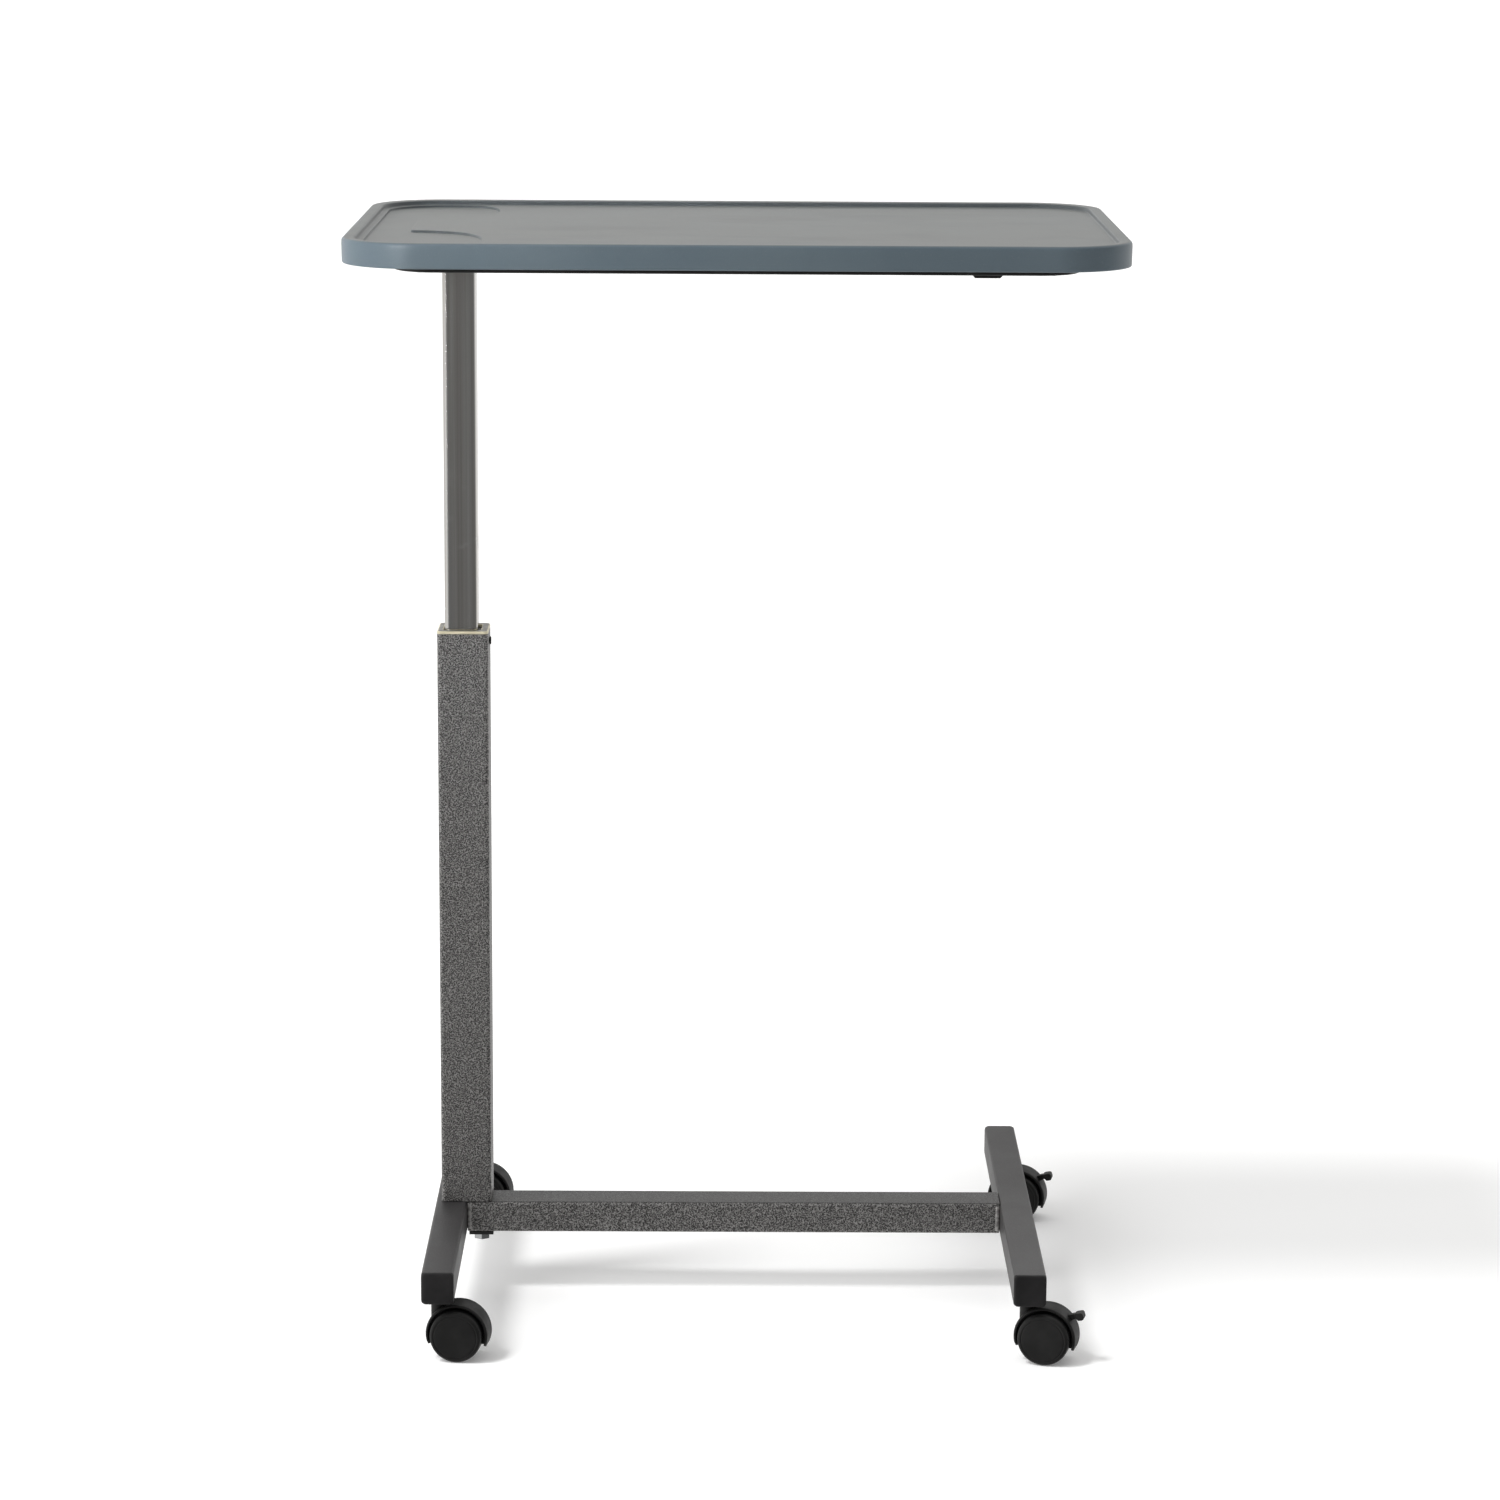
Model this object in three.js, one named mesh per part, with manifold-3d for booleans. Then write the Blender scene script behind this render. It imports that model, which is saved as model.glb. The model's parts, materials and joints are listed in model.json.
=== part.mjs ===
// Height-adjustable overbed table on a wheeled H-shaped base, in millimetres, +Z up.
// Origin: on the floor under the middle of the tabletop. +X runs along the tabletop, away
// from the column's end; +Y runs along the two feet.
import * as THREE from 'three';
import { mergeVertices } from 'three/addons/utils/BufferGeometryUtils.js';
import Module from 'manifold-3d';

const wasm = await Module();
wasm.setup();

// ---- driving dimensions ----
const GAP = 0.3; // air left between pieces that touch
const OVERLAP = 1; // how far a cutter or a joined solid runs past the face it meets

// tabletop tray
const TOP_WIDTH = 750;
const TOP_DEPTH = 505;
const TOP_Z = 1096;
const TOP_CORNER = 75;
const TOP_EDGE = 2;
const SKIRT_HEIGHT = 24.1;
const SKIRT_WALL = 3.5;
const RIM_WIDTH = 13;
const RIM_HEIGHT = 5;
const TRAY_SKIN = 4.5;
const RECESS_DEPTH = 2;
const TRAY_FLOOR = TOP_Z - RIM_HEIGHT;
const TRAY_UNDERSIDE = TRAY_FLOOR - TRAY_SKIN;
const SKIRT_BOTTOM = TOP_Z - SKIRT_HEIGHT;

// closing pan under the tray
const PAN_INSET = 48;
const PAN_CORNER = 42;
const PAN_WALL = 2.5;
const PAN_BOTTOM = 1064;
const PAN_FLOOR = PAN_BOTTOM + PAN_WALL;
const PAN_SCREW_X = 300;
const PAN_SCREW_Y = 180;
const PAN_SCREW_R = 1.8;
const PAN_BOSS_R = 5;
const PAN_SCREW_HEAD_R = 4;
const PAN_SCREW_HEAD = 1.4;
const PAN_SCREW_LENGTH = 14;

// base: two feet of square tube and a deeper cross bar, as tall as the feet
const TUBE = 32;
const TUBE_WALL = 1.5;
const BAR_DEPTH = 43;
const BAR_Y = -3.8;
const TUBE_CORNER = 3;
const FOOT_TOP = 93.6;
const FOOT_UNDER = FOOT_TOP - TUBE;
const FOOT_LENGTH = 516;
const LEFT_FOOT_X = -287.7;
const RIGHT_FOOT_X = 291.6;
const CAP_THICK = 3.5;
const CAP_CORNER = 4.5;
const CAP_BEVEL = 1;
const CAP_PLUG = 44;
const WELD_LENGTH = 4.5;
const WELD_PROUD = 0.9;

// column and mast
const COLUMN = 51;
const COLUMN_WALL = 2;
const COLUMN_CORNER = 3.5;
const COLUMN_X = -272.3;
const COLUMN_TOP = 685.3;
const COLLAR_THICK = 2.8;
const COLLAR_SIDE = 51.4;
const COLLAR_CORNER = 4;
const COLLAR_BEVEL = 0.6;
const COLLAR_PLAY_LEFT = 1.2;
const COLLAR_PLAY_RIGHT = 3.2;
const COLLAR_SCREW_Z = 675;
const COLLAR_SCREW_R = 2.5;
const COLLAR_SCREW_HEAD_R = 4;
const COLLAR_SCREW_HEAD = 1.7;
const COLLAR_SCREW_DEPTH = 4; // past the column's wall, into the upper glide
const BASE_PLATE = 8;
const MAST = 33;
const MAST_WALL = 1.5;
const MAST_CORNER = 5;
const MAST_X = -274;
const MAST_BOTTOM = 538.3;
const GLIDE_HEIGHT = 18;
const GLIDE_SPIGOT = 22;
const GLIDE_BORE_R = 11.5;
const UPPER_GLIDE_BOTTOM = 640;
const SOCKET_SIDE = 51;
const SOCKET_CORNER = 4;
const SOCKET_BOTTOM = 1047;

// fasteners under the column
const BAR_BOLT_X = -257.4;
const BAR_BOLT_Y = -9;
const BAR_BOLT_R = 5;
const BAR_BOLT_HEAD = 7;
const BAR_BOLT_FLATS = 15;
const FOOT_BOLT_R = 4;
const FOOT_BOLT_FLATS = 13;
const FOOT_BOLT_HEAD = 5.5;
const CLAMP_PLATE = { x: 24.8, y: 30, z: 3 };

// locking gas spring inside the mast
const CYLINDER_R = 11;
const CYLINDER_BORE_R = 9;
const CYLINDER_TOP = 640;
const CYLINDER_NECK = 8;
const CYLINDER_FLOOR = 15;
const CYLINDER_STUD_R = 3;
const ROD_R = 4;
const ROD_BOTTOM = 556;
const PISTON_HEIGHT = 6;
const ROD_THREAD_R = 5;
const ROD_SHOULDER_R = 8;
const ROD_SHOULDER = 3;
const ROD_TOP = 1075;
const ROD_NUT_FLATS = 15;
const PIN_BORE_DEPTH = 2.5; // below the pin's lower end
const PIN_R = 2;
const PIN_BOTTOM = 1062;
const PIN_TOP = 1077.7;

// support frame inside the pan
const HEAD_PLATE = { x: 106, y: 120, z: 5, centreX: -267 };
const HEAD_PLATE_BOTTOM = PAN_FLOOR + GAP;
const HEAD_PLATE_TOP = HEAD_PLATE_BOTTOM + HEAD_PLATE.z;
const RAIL = { y: 20, centreY: 48, wall: 1.5, left: -318, right: 215 };
const RAIL_BOTTOM = HEAD_PLATE_TOP + GAP;
const RAIL_TOP = TRAY_UNDERSIDE - GAP;
const TIE_THICK = 2.5;
const TIE_WIDTH = 20;
const TOP_SCREW_X = [-290, 205];
const TOP_SCREW_R = 2.2;
const TOP_SCREW_HEAD_R = 5;
const TOP_SCREW_HEAD = 2.8;
const TOP_SCREW_BITE = 3; // into the tray's skin

// height release lever
const SHAFT_Y = -30;
const SHAFT_Z = 1080;
const SHAFT_R = 4;
const SHAFT_LEFT = -284;
const SHAFT_RIGHT = 250;
const FINGER = { halfWidth: 5, halfThick: 2, reach: 5 }; // over the release pin
const HANDLE_X = 237.2;
const HANDLE_HUB = 22;
const HANDLE_HUB_R = 6;
const HANDLE_ARM = 14;
const PADDLE = { width: 28, foot: 24, front: -195, back: -168, bottom: 1060.8, top: 1069.2 };
const SLOT_CLEARANCE = { x: 1.3, y: 2.5 };
const BEARING = { x: 10, y: 14 };
const BEARING_X = [-227, 205];
const SPRING = { x: -195, coilR: 5.6, wireR: 0.6, turns: 3, pitch: 2.4 };

// twin-wheel caster
const STEM_Y = 229;
const STEM_R = 5.3;
const STEM_PIN_R = 4;
const STEM_FLANGE_R = 8.5;
const STEM_FLANGE = 1.7;
const TRAIL = 19.4;
const WHEEL_R = 25.8;
const WHEEL_INNER = 5.4;
const WHEEL_OUTER = 21;
const AXLE_R = 3;
const AXLE_HALF = 16;
const HOOD_R = 31;
const HOOD_INNER_R = 28.3;
const HOOD_HALF = 13;
const WEB_HALF = 5;
const HOOD_TIP_ANGLE = 20.5; // degrees that the hood's ends reach below the axle's level
const NECK_R = 8;
const NECK_TOP = FOOT_UNDER - GAP - STEM_FLANGE - GAP;
const BRAKE_PIVOT = new THREE.Vector2(19.5, 17.5); // from the axle, along the trail and up
const BRAKE_RAISED = 14; // degrees that the released lever's tip is raised
const BRAKE_HALF = 6;
const BRAKE_STALK_HALF = 3.2;
const TRUNNION_R = 1.4;
const BRAKE_MOUTH_R = 6.5;
const AXLE_COVER = 10; // how far above the axle the neck starts
const STEM_PIN_DEPTH = 11;
const CASTERS = [
  { id: 'front_left', x: LEFT_FOOT_X, y: -STEM_Y, swivel: -8, brake: false },
  { id: 'front_right', x: RIGHT_FOOT_X, y: -STEM_Y, swivel: -16, brake: true },
  { id: 'rear_left', x: LEFT_FOOT_X, y: STEM_Y, swivel: -6, brake: false },
  { id: 'rear_right', x: RIGHT_FOOT_X, y: STEM_Y, swivel: -12, brake: true },
];

const WHEEL_SIDES = 20;
const ROUND_SIDES = 12;
const ARC_STEPS = 10;

// ---- materials ----
const finish = (color, roughness, metalness = 0) =>
  new THREE.MeshStandardMaterial({ color, roughness, metalness });
const trayPlastic = finish(0x8f9aa0, 0.5);
const blackPlastic = finish(0x1d1d1f, 0.55);
const capPlastic = finish(0x2b2b2d, 0.5);
const hammertone = finish(0x4b4a4b, 0.55, 0.3);
const satinGrey = finish(0x66666a, 0.45, 0.3);
const chrome = finish(0xb9bcc0, 0.18, 1);
const polished = finish(0x8c8a86, 0.28, 1);
const gold = finish(0xb59a5c, 0.35, 1);
const zinc = finish(0x9c9ea2, 0.4, 1);
const whiteNylon = finish(0xd8d6cf, 0.5);

// ---- helpers ----
const group = new THREE.Group();

function place(parent, name, geometry, material) {
  const mesh = new THREE.Mesh(geometry, material);
  mesh.name = name;
  parent.add(mesh);
  return mesh;
}

// A closed geometry becomes a manifold solid once its shared vertices are merged.
function toSolid(geometry) {
  const bare = geometry.clone();
  bare.deleteAttribute('normal');
  bare.deleteAttribute('uv');
  const merged = mergeVertices(bare, 1e-4);
  const index = merged.index.array;
  const triangles = [];
  for (let i = 0; i < index.length; i += 3) {
    const [a, b, c] = [index[i], index[i + 1], index[i + 2]];
    if (a !== b && b !== c && c !== a) triangles.push(a, b, c);
  }
  return new wasm.Manifold(new wasm.Mesh({
    numProp: 3,
    vertProperties: Float32Array.from(merged.attributes.position.array),
    triVerts: Uint32Array.from(triangles),
  }));
}

function fromSolid(solid) {
  const { vertProperties, triVerts } = solid.getMesh();
  const geometry = new THREE.BufferGeometry();
  geometry.setAttribute('position', new THREE.BufferAttribute(vertProperties, 3));
  geometry.setIndex(new THREE.BufferAttribute(triVerts, 1));
  geometry.computeVertexNormals();
  return geometry;
}

// Joins the solids in `added`, then takes away those in `cut`.
function shape(added, cut = []) {
  const joined = added.map(toSolid).reduce((a, b) => a.add(b));
  return fromSolid(cut.map(toSolid).reduce((a, b) => a.subtract(b), joined));
}

// A box between two corners.
function block(x0, y0, z0, x1, y1, z1) {
  const geometry = new THREE.BoxGeometry(x1 - x0, y1 - y0, z1 - z0);
  return geometry.translate((x0 + x1) / 2, (y0 + y1) / 2, (z0 + z1) / 2);
}

// Upright cylinder or prism from z0 to z1.
function post(radius, x, y, z0, z1, sides = ROUND_SIDES) {
  const geometry = new THREE.CylinderGeometry(radius, radius, z1 - z0, sides);
  return geometry.rotateX(Math.PI / 2).translate(x, y, (z0 + z1) / 2);
}

// Cylinder along X from x0 to x1.
function rodX(radius, y, z, x0, x1, sides = ROUND_SIDES) {
  const geometry = new THREE.CylinderGeometry(radius, radius, x1 - x0, sides);
  return geometry.rotateZ(Math.PI / 2).translate((x0 + x1) / 2, y, z);
}

// Cylinder along Y from y0 to y1.
function rodY(radius, x, z, y0, y1, sides = ROUND_SIDES) {
  return new THREE.CylinderGeometry(radius, radius, y1 - y0, sides).translate(x, (y0 + y1) / 2, z);
}

function roundedRect(width, depth, radius, target = new THREE.Shape()) {
  const [x, y] = [width / 2, depth / 2];
  target.moveTo(-x + radius, -y);
  target.lineTo(x - radius, -y);
  target.absarc(x - radius, -y + radius, radius, -Math.PI / 2, 0);
  target.lineTo(x, y - radius);
  target.absarc(x - radius, y - radius, radius, 0, Math.PI / 2);
  target.lineTo(-x + radius, y);
  target.absarc(-x + radius, y - radius, radius, Math.PI / 2, Math.PI);
  target.lineTo(-x, -y + radius);
  target.absarc(-x + radius, -y + radius, radius, Math.PI, Math.PI * 1.5);
  return target;
}

function extrude(outline, depth, curveSegments, bevel = 0) {
  return new THREE.ExtrudeGeometry(outline, {
    depth: depth - 2 * bevel,
    curveSegments,
    bevelEnabled: bevel > 0,
    bevelSize: bevel,
    bevelOffset: -bevel,
    bevelThickness: bevel,
    bevelSegments: 1,
  }).translate(0, 0, bevel);
}

// Rounded-rectangle slab from z0 to z1 about the Z axis.
function slab(width, depth, radius, z0, z1, curveSegments = 4, bevel = 0) {
  return extrude(roundedRect(width, depth, radius), z1 - z0, curveSegments, bevel).translate(0, 0, z0);
}

// Square tube standing on z = 0, centred on the Z axis.
function rectTube(width, depth, wall, corner, length) {
  const outline = roundedRect(width, depth, corner);
  const innerCorner = Math.max(corner - wall, 0.5);
  outline.holes.push(
    roundedRect(width - 2 * wall, depth - 2 * wall, innerCorner, new THREE.Path()));
  return extrude(outline, length, 2);
}

function squareTube(side, wall, corner, length) {
  return rectTube(side, side, wall, corner, length);
}

// A closed profile of [radius, height] points turned about the Z axis.
function turned(points, sides = ROUND_SIDES) {
  const profile = points.map(([r, z]) => new THREE.Vector2(r, z));
  return new THREE.LatheGeometry(profile, sides).rotateX(Math.PI / 2);
}

// An outline in the X-Z plane given a width along Y, centred on y = 0.
function plate(outline, width, curveSegments = ARC_STEPS) {
  return extrude(outline, width, curveSegments).rotateX(Math.PI / 2).translate(0, width / 2, 0);
}

function hexPrism(acrossFlats, x, y, z0, z1) {
  return post(acrossFlats / Math.sqrt(3), x, y, z0, z1, 6);
}

// ---- base ----
function buildBase() {
  const tubeLength = FOOT_LENGTH - 2 * CAP_THICK - 2 * GAP;
  for (const [name, x] of [['left_foot', LEFT_FOOT_X], ['right_foot', RIGHT_FOOT_X]]) {
    const tube = squareTube(TUBE, TUBE_WALL, TUBE_CORNER, tubeLength)
      .rotateX(Math.PI / 2)
      .translate(x, tubeLength / 2, FOOT_TOP - TUBE / 2);
    const holes = [-STEM_Y, STEM_Y].map((y) =>
      post(STEM_R + GAP, x, y, FOOT_UNDER - OVERLAP, FOOT_UNDER + TUBE_WALL + OVERLAP));
    if (x === LEFT_FOOT_X) {
      holes.push(post(FOOT_BOLT_R + GAP, x, 0, FOOT_UNDER - OVERLAP, FOOT_TOP + OVERLAP));
    }
    place(group, name, shape([tube], holes), satinGrey);
  }

  const barLeft = LEFT_FOOT_X + TUBE / 2 + GAP;
  const barRight = RIGHT_FOOT_X - TUBE / 2 - GAP;
  const bar = rectTube(TUBE, BAR_DEPTH, TUBE_WALL, TUBE_CORNER, barRight - barLeft)
    .rotateY(Math.PI / 2)
    .translate(barLeft, BAR_Y, FOOT_TOP - TUBE / 2);
  const welds = [];
  for (const x of [barLeft, barRight - WELD_LENGTH]) {
    for (const side of [-1, 1]) {
      const y = BAR_Y + side * (BAR_DEPTH / 2 + WELD_PROUD / 2 - TUBE_WALL / 4);
      const half = WELD_PROUD / 2 + TUBE_WALL / 4;
      welds.push(block(x, y - half, FOOT_UNDER + TUBE_CORNER,
        x + WELD_LENGTH, y + half, FOOT_TOP - TUBE_CORNER));
    }
  }
  const barBoltHole = post(BAR_BOLT_R + GAP, BAR_BOLT_X, BAR_BOLT_Y,
    FOOT_UNDER - OVERLAP, FOOT_TOP + OVERLAP);
  place(group, 'cross_bar', shape([bar, ...welds], [barBoltHole]), hammertone);

  // End caps: a rounded face on a plug that also carries the caster's stem.
  for (const caster of CASTERS) {
    const end = Math.sign(caster.y);
    const face = extrude(roundedRect(TUBE, TUBE, CAP_CORNER), CAP_THICK, 2, CAP_BEVEL)
      .rotateX(end > 0 ? -Math.PI / 2 : Math.PI / 2)
      .translate(caster.x, end * (FOOT_LENGTH / 2 - CAP_THICK), FOOT_TOP - TUBE / 2);
    const plugSide = TUBE - 2 * TUBE_WALL - 2 * GAP;
    const plug = extrude(roundedRect(plugSide, plugSide, TUBE_CORNER), CAP_PLUG + OVERLAP, 2)
      .rotateX(end > 0 ? -Math.PI / 2 : Math.PI / 2)
      .translate(caster.x, end * (FOOT_LENGTH / 2 - CAP_THICK - CAP_PLUG), FOOT_TOP - TUBE / 2);
    const bore = post(STEM_R + GAP, caster.x, caster.y, FOOT_UNDER, FOOT_TOP - 5);
    place(group, `foot_cap_${caster.id}`, shape([face, plug], [bore]), capPlastic);
  }
}

function buildColumn() {
  const inner = COLUMN - 2 * COLUMN_WALL;
  const bottom = FOOT_TOP + GAP;
  const side = COLUMN_X + COLUMN / 2;
  const column = squareTube(COLUMN, COLUMN_WALL, COLUMN_CORNER, COLUMN_TOP - bottom)
    .translate(COLUMN_X, 0, bottom);
  const screwHole = rodX(COLLAR_SCREW_R + GAP, 0, COLLAR_SCREW_Z,
    side - COLUMN_WALL - OVERLAP, side + OVERLAP);
  place(group, 'outer_column', shape([column], [screwHole]), hammertone);

  const insert = inner - 2 * GAP;
  const basePlate = slab(insert, insert, COLUMN_CORNER, bottom, bottom + BASE_PLATE, 2)
    .translate(COLUMN_X, 0, 0);
  const above = bottom + BASE_PLATE + OVERLAP;
  place(group, 'column_base_plate', shape([basePlate], [
    post(BAR_BOLT_R + GAP, BAR_BOLT_X, BAR_BOLT_Y, bottom - OVERLAP, above),
    post(FOOT_BOLT_R + GAP, LEFT_FOOT_X, 0, bottom - OVERLAP, above),
    post(CYLINDER_STUD_R + GAP, MAST_X, 0, bottom - OVERLAP, above),
  ]), zinc);

  const clampTop = FOOT_UNDER - GAP;
  const clampBottom = clampTop - CLAMP_PLATE.z;
  place(group, 'clamp_plate', shape([
    block(BAR_BOLT_X - CLAMP_PLATE.x / 2, BAR_BOLT_Y - CLAMP_PLATE.y / 2, clampBottom,
      BAR_BOLT_X + CLAMP_PLATE.x / 2, BAR_BOLT_Y + CLAMP_PLATE.y / 2, clampTop),
  ], [
    post(BAR_BOLT_R + GAP, BAR_BOLT_X, BAR_BOLT_Y, clampBottom - OVERLAP, clampTop + OVERLAP),
  ]), blackPlastic);

  const boltTop = bottom + BASE_PLATE - GAP;
  const barHead = clampBottom - GAP;
  place(group, 'bar_bolt', shape([
    hexPrism(BAR_BOLT_FLATS, BAR_BOLT_X, BAR_BOLT_Y, barHead - BAR_BOLT_HEAD, barHead),
    post(BAR_BOLT_R, BAR_BOLT_X, BAR_BOLT_Y, barHead - OVERLAP, boltTop),
  ]), chrome);
  const footHead = FOOT_UNDER - GAP;
  place(group, 'foot_bolt', shape([
    hexPrism(FOOT_BOLT_FLATS, LEFT_FOOT_X, 0, footHead - FOOT_BOLT_HEAD, footHead),
    post(FOOT_BOLT_R, LEFT_FOOT_X, 0, footHead - OVERLAP, boltTop),
  ]), zinc);

  const collarUnder = COLUMN_TOP + GAP;
  const collar = slab(COLLAR_SIDE, COLLAR_SIDE, COLLAR_CORNER, collarUnder, collarUnder + COLLAR_THICK,
    3, COLLAR_BEVEL).translate(COLUMN_X, 0, 0);
  const mouth = block(
    MAST_X - MAST / 2 - COLLAR_PLAY_LEFT, -MAST / 2 - COLLAR_PLAY_LEFT, COLUMN_TOP - OVERLAP,
    MAST_X + MAST / 2 + COLLAR_PLAY_RIGHT, MAST / 2 + COLLAR_PLAY_LEFT, COLUMN_TOP + COLLAR_THICK + OVERLAP);
  place(group, 'collar', shape([collar], [mouth]), gold);

  const glide = slab(insert, insert, COLUMN_CORNER, UPPER_GLIDE_BOTTOM, COLUMN_TOP - GAP, 2)
    .translate(COLUMN_X, 0, 0);
  const boreSide = MAST + 2 * GAP;
  const bore = slab(boreSide, boreSide, MAST_CORNER, UPPER_GLIDE_BOTTOM - OVERLAP, COLUMN_TOP + OVERLAP, 2)
    .translate(MAST_X, 0, 0);
  const screwEnd = side - COLUMN_WALL - COLLAR_SCREW_DEPTH;
  const thread = rodX(COLLAR_SCREW_R + GAP, 0, COLLAR_SCREW_Z, screwEnd - GAP, side);
  place(group, 'upper_glide', shape([glide], [bore, thread]), whiteNylon);
  place(group, 'collar_screw', shape([
    rodX(COLLAR_SCREW_R, 0, COLLAR_SCREW_Z, screwEnd, side + GAP + OVERLAP),
    rodX(COLLAR_SCREW_HEAD_R, 0, COLLAR_SCREW_Z, side + GAP, side + GAP + COLLAR_SCREW_HEAD),
  ]), blackPlastic);

  // Gas-spring cylinder: a stud in the base plate, a tube and a neck round the rod.
  const seat = bottom + BASE_PLATE + GAP;
  place(group, 'gas_cylinder', turned([
    [0, bottom + OVERLAP], [CYLINDER_STUD_R, bottom + OVERLAP], [CYLINDER_STUD_R, seat],
    [CYLINDER_R, seat], [CYLINDER_R, CYLINDER_TOP], [ROD_R + GAP, CYLINDER_TOP],
    [ROD_R + GAP, CYLINDER_TOP - CYLINDER_NECK], [CYLINDER_BORE_R, CYLINDER_TOP - CYLINDER_NECK],
    [CYLINDER_BORE_R, seat + CYLINDER_FLOOR], [0, seat + CYLINDER_FLOOR],
  ]).translate(MAST_X, 0, 0), blackPlastic);
}

// ---- mast, which carries the whole top ----
function buildMast() {
  const headUnder = HEAD_PLATE_BOTTOM;
  const mast = squareTube(MAST, MAST_WALL, MAST_CORNER, headUnder - GAP - MAST_BOTTOM)
    .translate(MAST_X, 0, MAST_BOTTOM);
  place(group, 'mast_tube', mast, polished);

  const glideSide = COLUMN - 2 * COLUMN_WALL - 2 * GAP;
  const spigotSide = MAST - 2 * MAST_WALL - 2 * GAP;
  const glideTop = MAST_BOTTOM - GAP;
  place(group, 'mast_glide', shape([
    slab(glideSide, glideSide, COLUMN_CORNER, glideTop - GLIDE_HEIGHT, glideTop, 2).translate(COLUMN_X, 0, 0),
    slab(spigotSide, spigotSide, MAST_CORNER - MAST_WALL, glideTop - OVERLAP, glideTop + GLIDE_SPIGOT, 2)
      .translate(MAST_X, 0, 0),
  ], [
    post(GLIDE_BORE_R, MAST_X, 0, glideTop - GLIDE_HEIGHT - OVERLAP, glideTop + GLIDE_SPIGOT + OVERLAP),
  ]), whiteNylon);

  // Socket round the top of the mast, one piece with the plate that carries the frame.
  const socket = slab(SOCKET_SIDE, SOCKET_SIDE, SOCKET_CORNER, SOCKET_BOTTOM, headUnder + OVERLAP, 2)
    .translate(MAST_X, 0, 0);
  const boreSide = MAST + 2 * GAP;
  const socketBore = slab(boreSide, boreSide, MAST_CORNER, SOCKET_BOTTOM - OVERLAP, headUnder, 2)
    .translate(MAST_X, 0, 0);
  const plateX = HEAD_PLATE.centreX;
  const headPlate = block(plateX - HEAD_PLATE.x / 2, -HEAD_PLATE.y / 2, headUnder,
    plateX + HEAD_PLATE.x / 2, HEAD_PLATE.y / 2, HEAD_PLATE_TOP);
  const headHoles = [-1, 1].map((side) => post(TOP_SCREW_HEAD_R + 1, TOP_SCREW_X[0], side * RAIL.centreY,
    headUnder - OVERLAP, HEAD_PLATE_TOP + OVERLAP));
  const rodHole = post(ROD_THREAD_R + GAP, MAST_X, 0, headUnder - OVERLAP, HEAD_PLATE_TOP + OVERLAP);
  place(group, 'mast_head', shape([socket, headPlate], [socketBore, rodHole, ...headHoles]), blackPlastic);

  // Gas-spring rod: piston, rod, shoulder under the head plate and threaded end through it.
  const shoulderTop = headUnder - GAP;
  const rod = turned([
    [0, ROD_BOTTOM], [CYLINDER_BORE_R - GAP, ROD_BOTTOM], [CYLINDER_BORE_R - GAP, ROD_BOTTOM + PISTON_HEIGHT],
    [ROD_R, ROD_BOTTOM + PISTON_HEIGHT], [ROD_R, shoulderTop - ROD_SHOULDER],
    [ROD_SHOULDER_R, shoulderTop - ROD_SHOULDER], [ROD_SHOULDER_R, shoulderTop], [ROD_THREAD_R, shoulderTop],
    [ROD_THREAD_R, ROD_TOP], [PIN_R + GAP, ROD_TOP], [PIN_R + GAP, PIN_BOTTOM - PIN_BORE_DEPTH],
    [0, PIN_BOTTOM - PIN_BORE_DEPTH],
  ]).translate(MAST_X, 0, 0);
  place(group, 'gas_rod', rod, chrome);
  place(group, 'rod_nut', shape(
    [hexPrism(ROD_NUT_FLATS, MAST_X, 0, HEAD_PLATE_TOP + GAP, ROD_TOP)],
    [post(ROD_THREAD_R + GAP, MAST_X, 0, HEAD_PLATE_TOP, ROD_TOP + OVERLAP)],
  ), zinc);
  place(group, 'release_pin', post(PIN_R, MAST_X, 0, PIN_BOTTOM, PIN_TOP), chrome);
}

// ---- frame, pan and tray ----
function buildFrame() {
  const rails = [];
  const hollows = [];
  for (const side of [-1, 1]) {
    const y = side * RAIL.centreY;
    rails.push(block(RAIL.left, y - RAIL.y / 2, RAIL_BOTTOM, RAIL.right, y + RAIL.y / 2, RAIL_TOP));
    hollows.push(block(RAIL.left - OVERLAP, y - RAIL.y / 2 + RAIL.wall, RAIL_BOTTOM + RAIL.wall,
      RAIL.right + OVERLAP, y + RAIL.y / 2 - RAIL.wall, RAIL_TOP - RAIL.wall));
    for (const x of TOP_SCREW_X) {
      hollows.push(post(TOP_SCREW_R + GAP, x, y, RAIL_BOTTOM - OVERLAP, RAIL_TOP + OVERLAP));
    }
  }
  const tieHalf = RAIL.centreY - RAIL.y / 2 + RAIL.wall / 2;
  const ties = [RAIL.left, RAIL.right - TIE_WIDTH].map((x) =>
    block(x, -tieHalf, RAIL_BOTTOM, x + TIE_WIDTH, tieHalf, RAIL_BOTTOM + TIE_THICK));
  place(group, 'support_frame', shape([...rails, ...ties], hollows), blackPlastic);

  TOP_SCREW_X.forEach((x, i) => {
    for (const [side, label] of [[-1, 'front'], [1, 'rear']]) {
      const y = side * RAIL.centreY;
      const seat = RAIL_BOTTOM - GAP;
      place(group, `top_screw_${label}_${i === 0 ? 'left' : 'right'}`, shape([
        post(TOP_SCREW_HEAD_R, x, y, seat - TOP_SCREW_HEAD, seat),
        post(TOP_SCREW_R, x, y, seat - OVERLAP, TRAY_UNDERSIDE + TOP_SCREW_BITE),
      ]), zinc);
    }
  });
}

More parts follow.
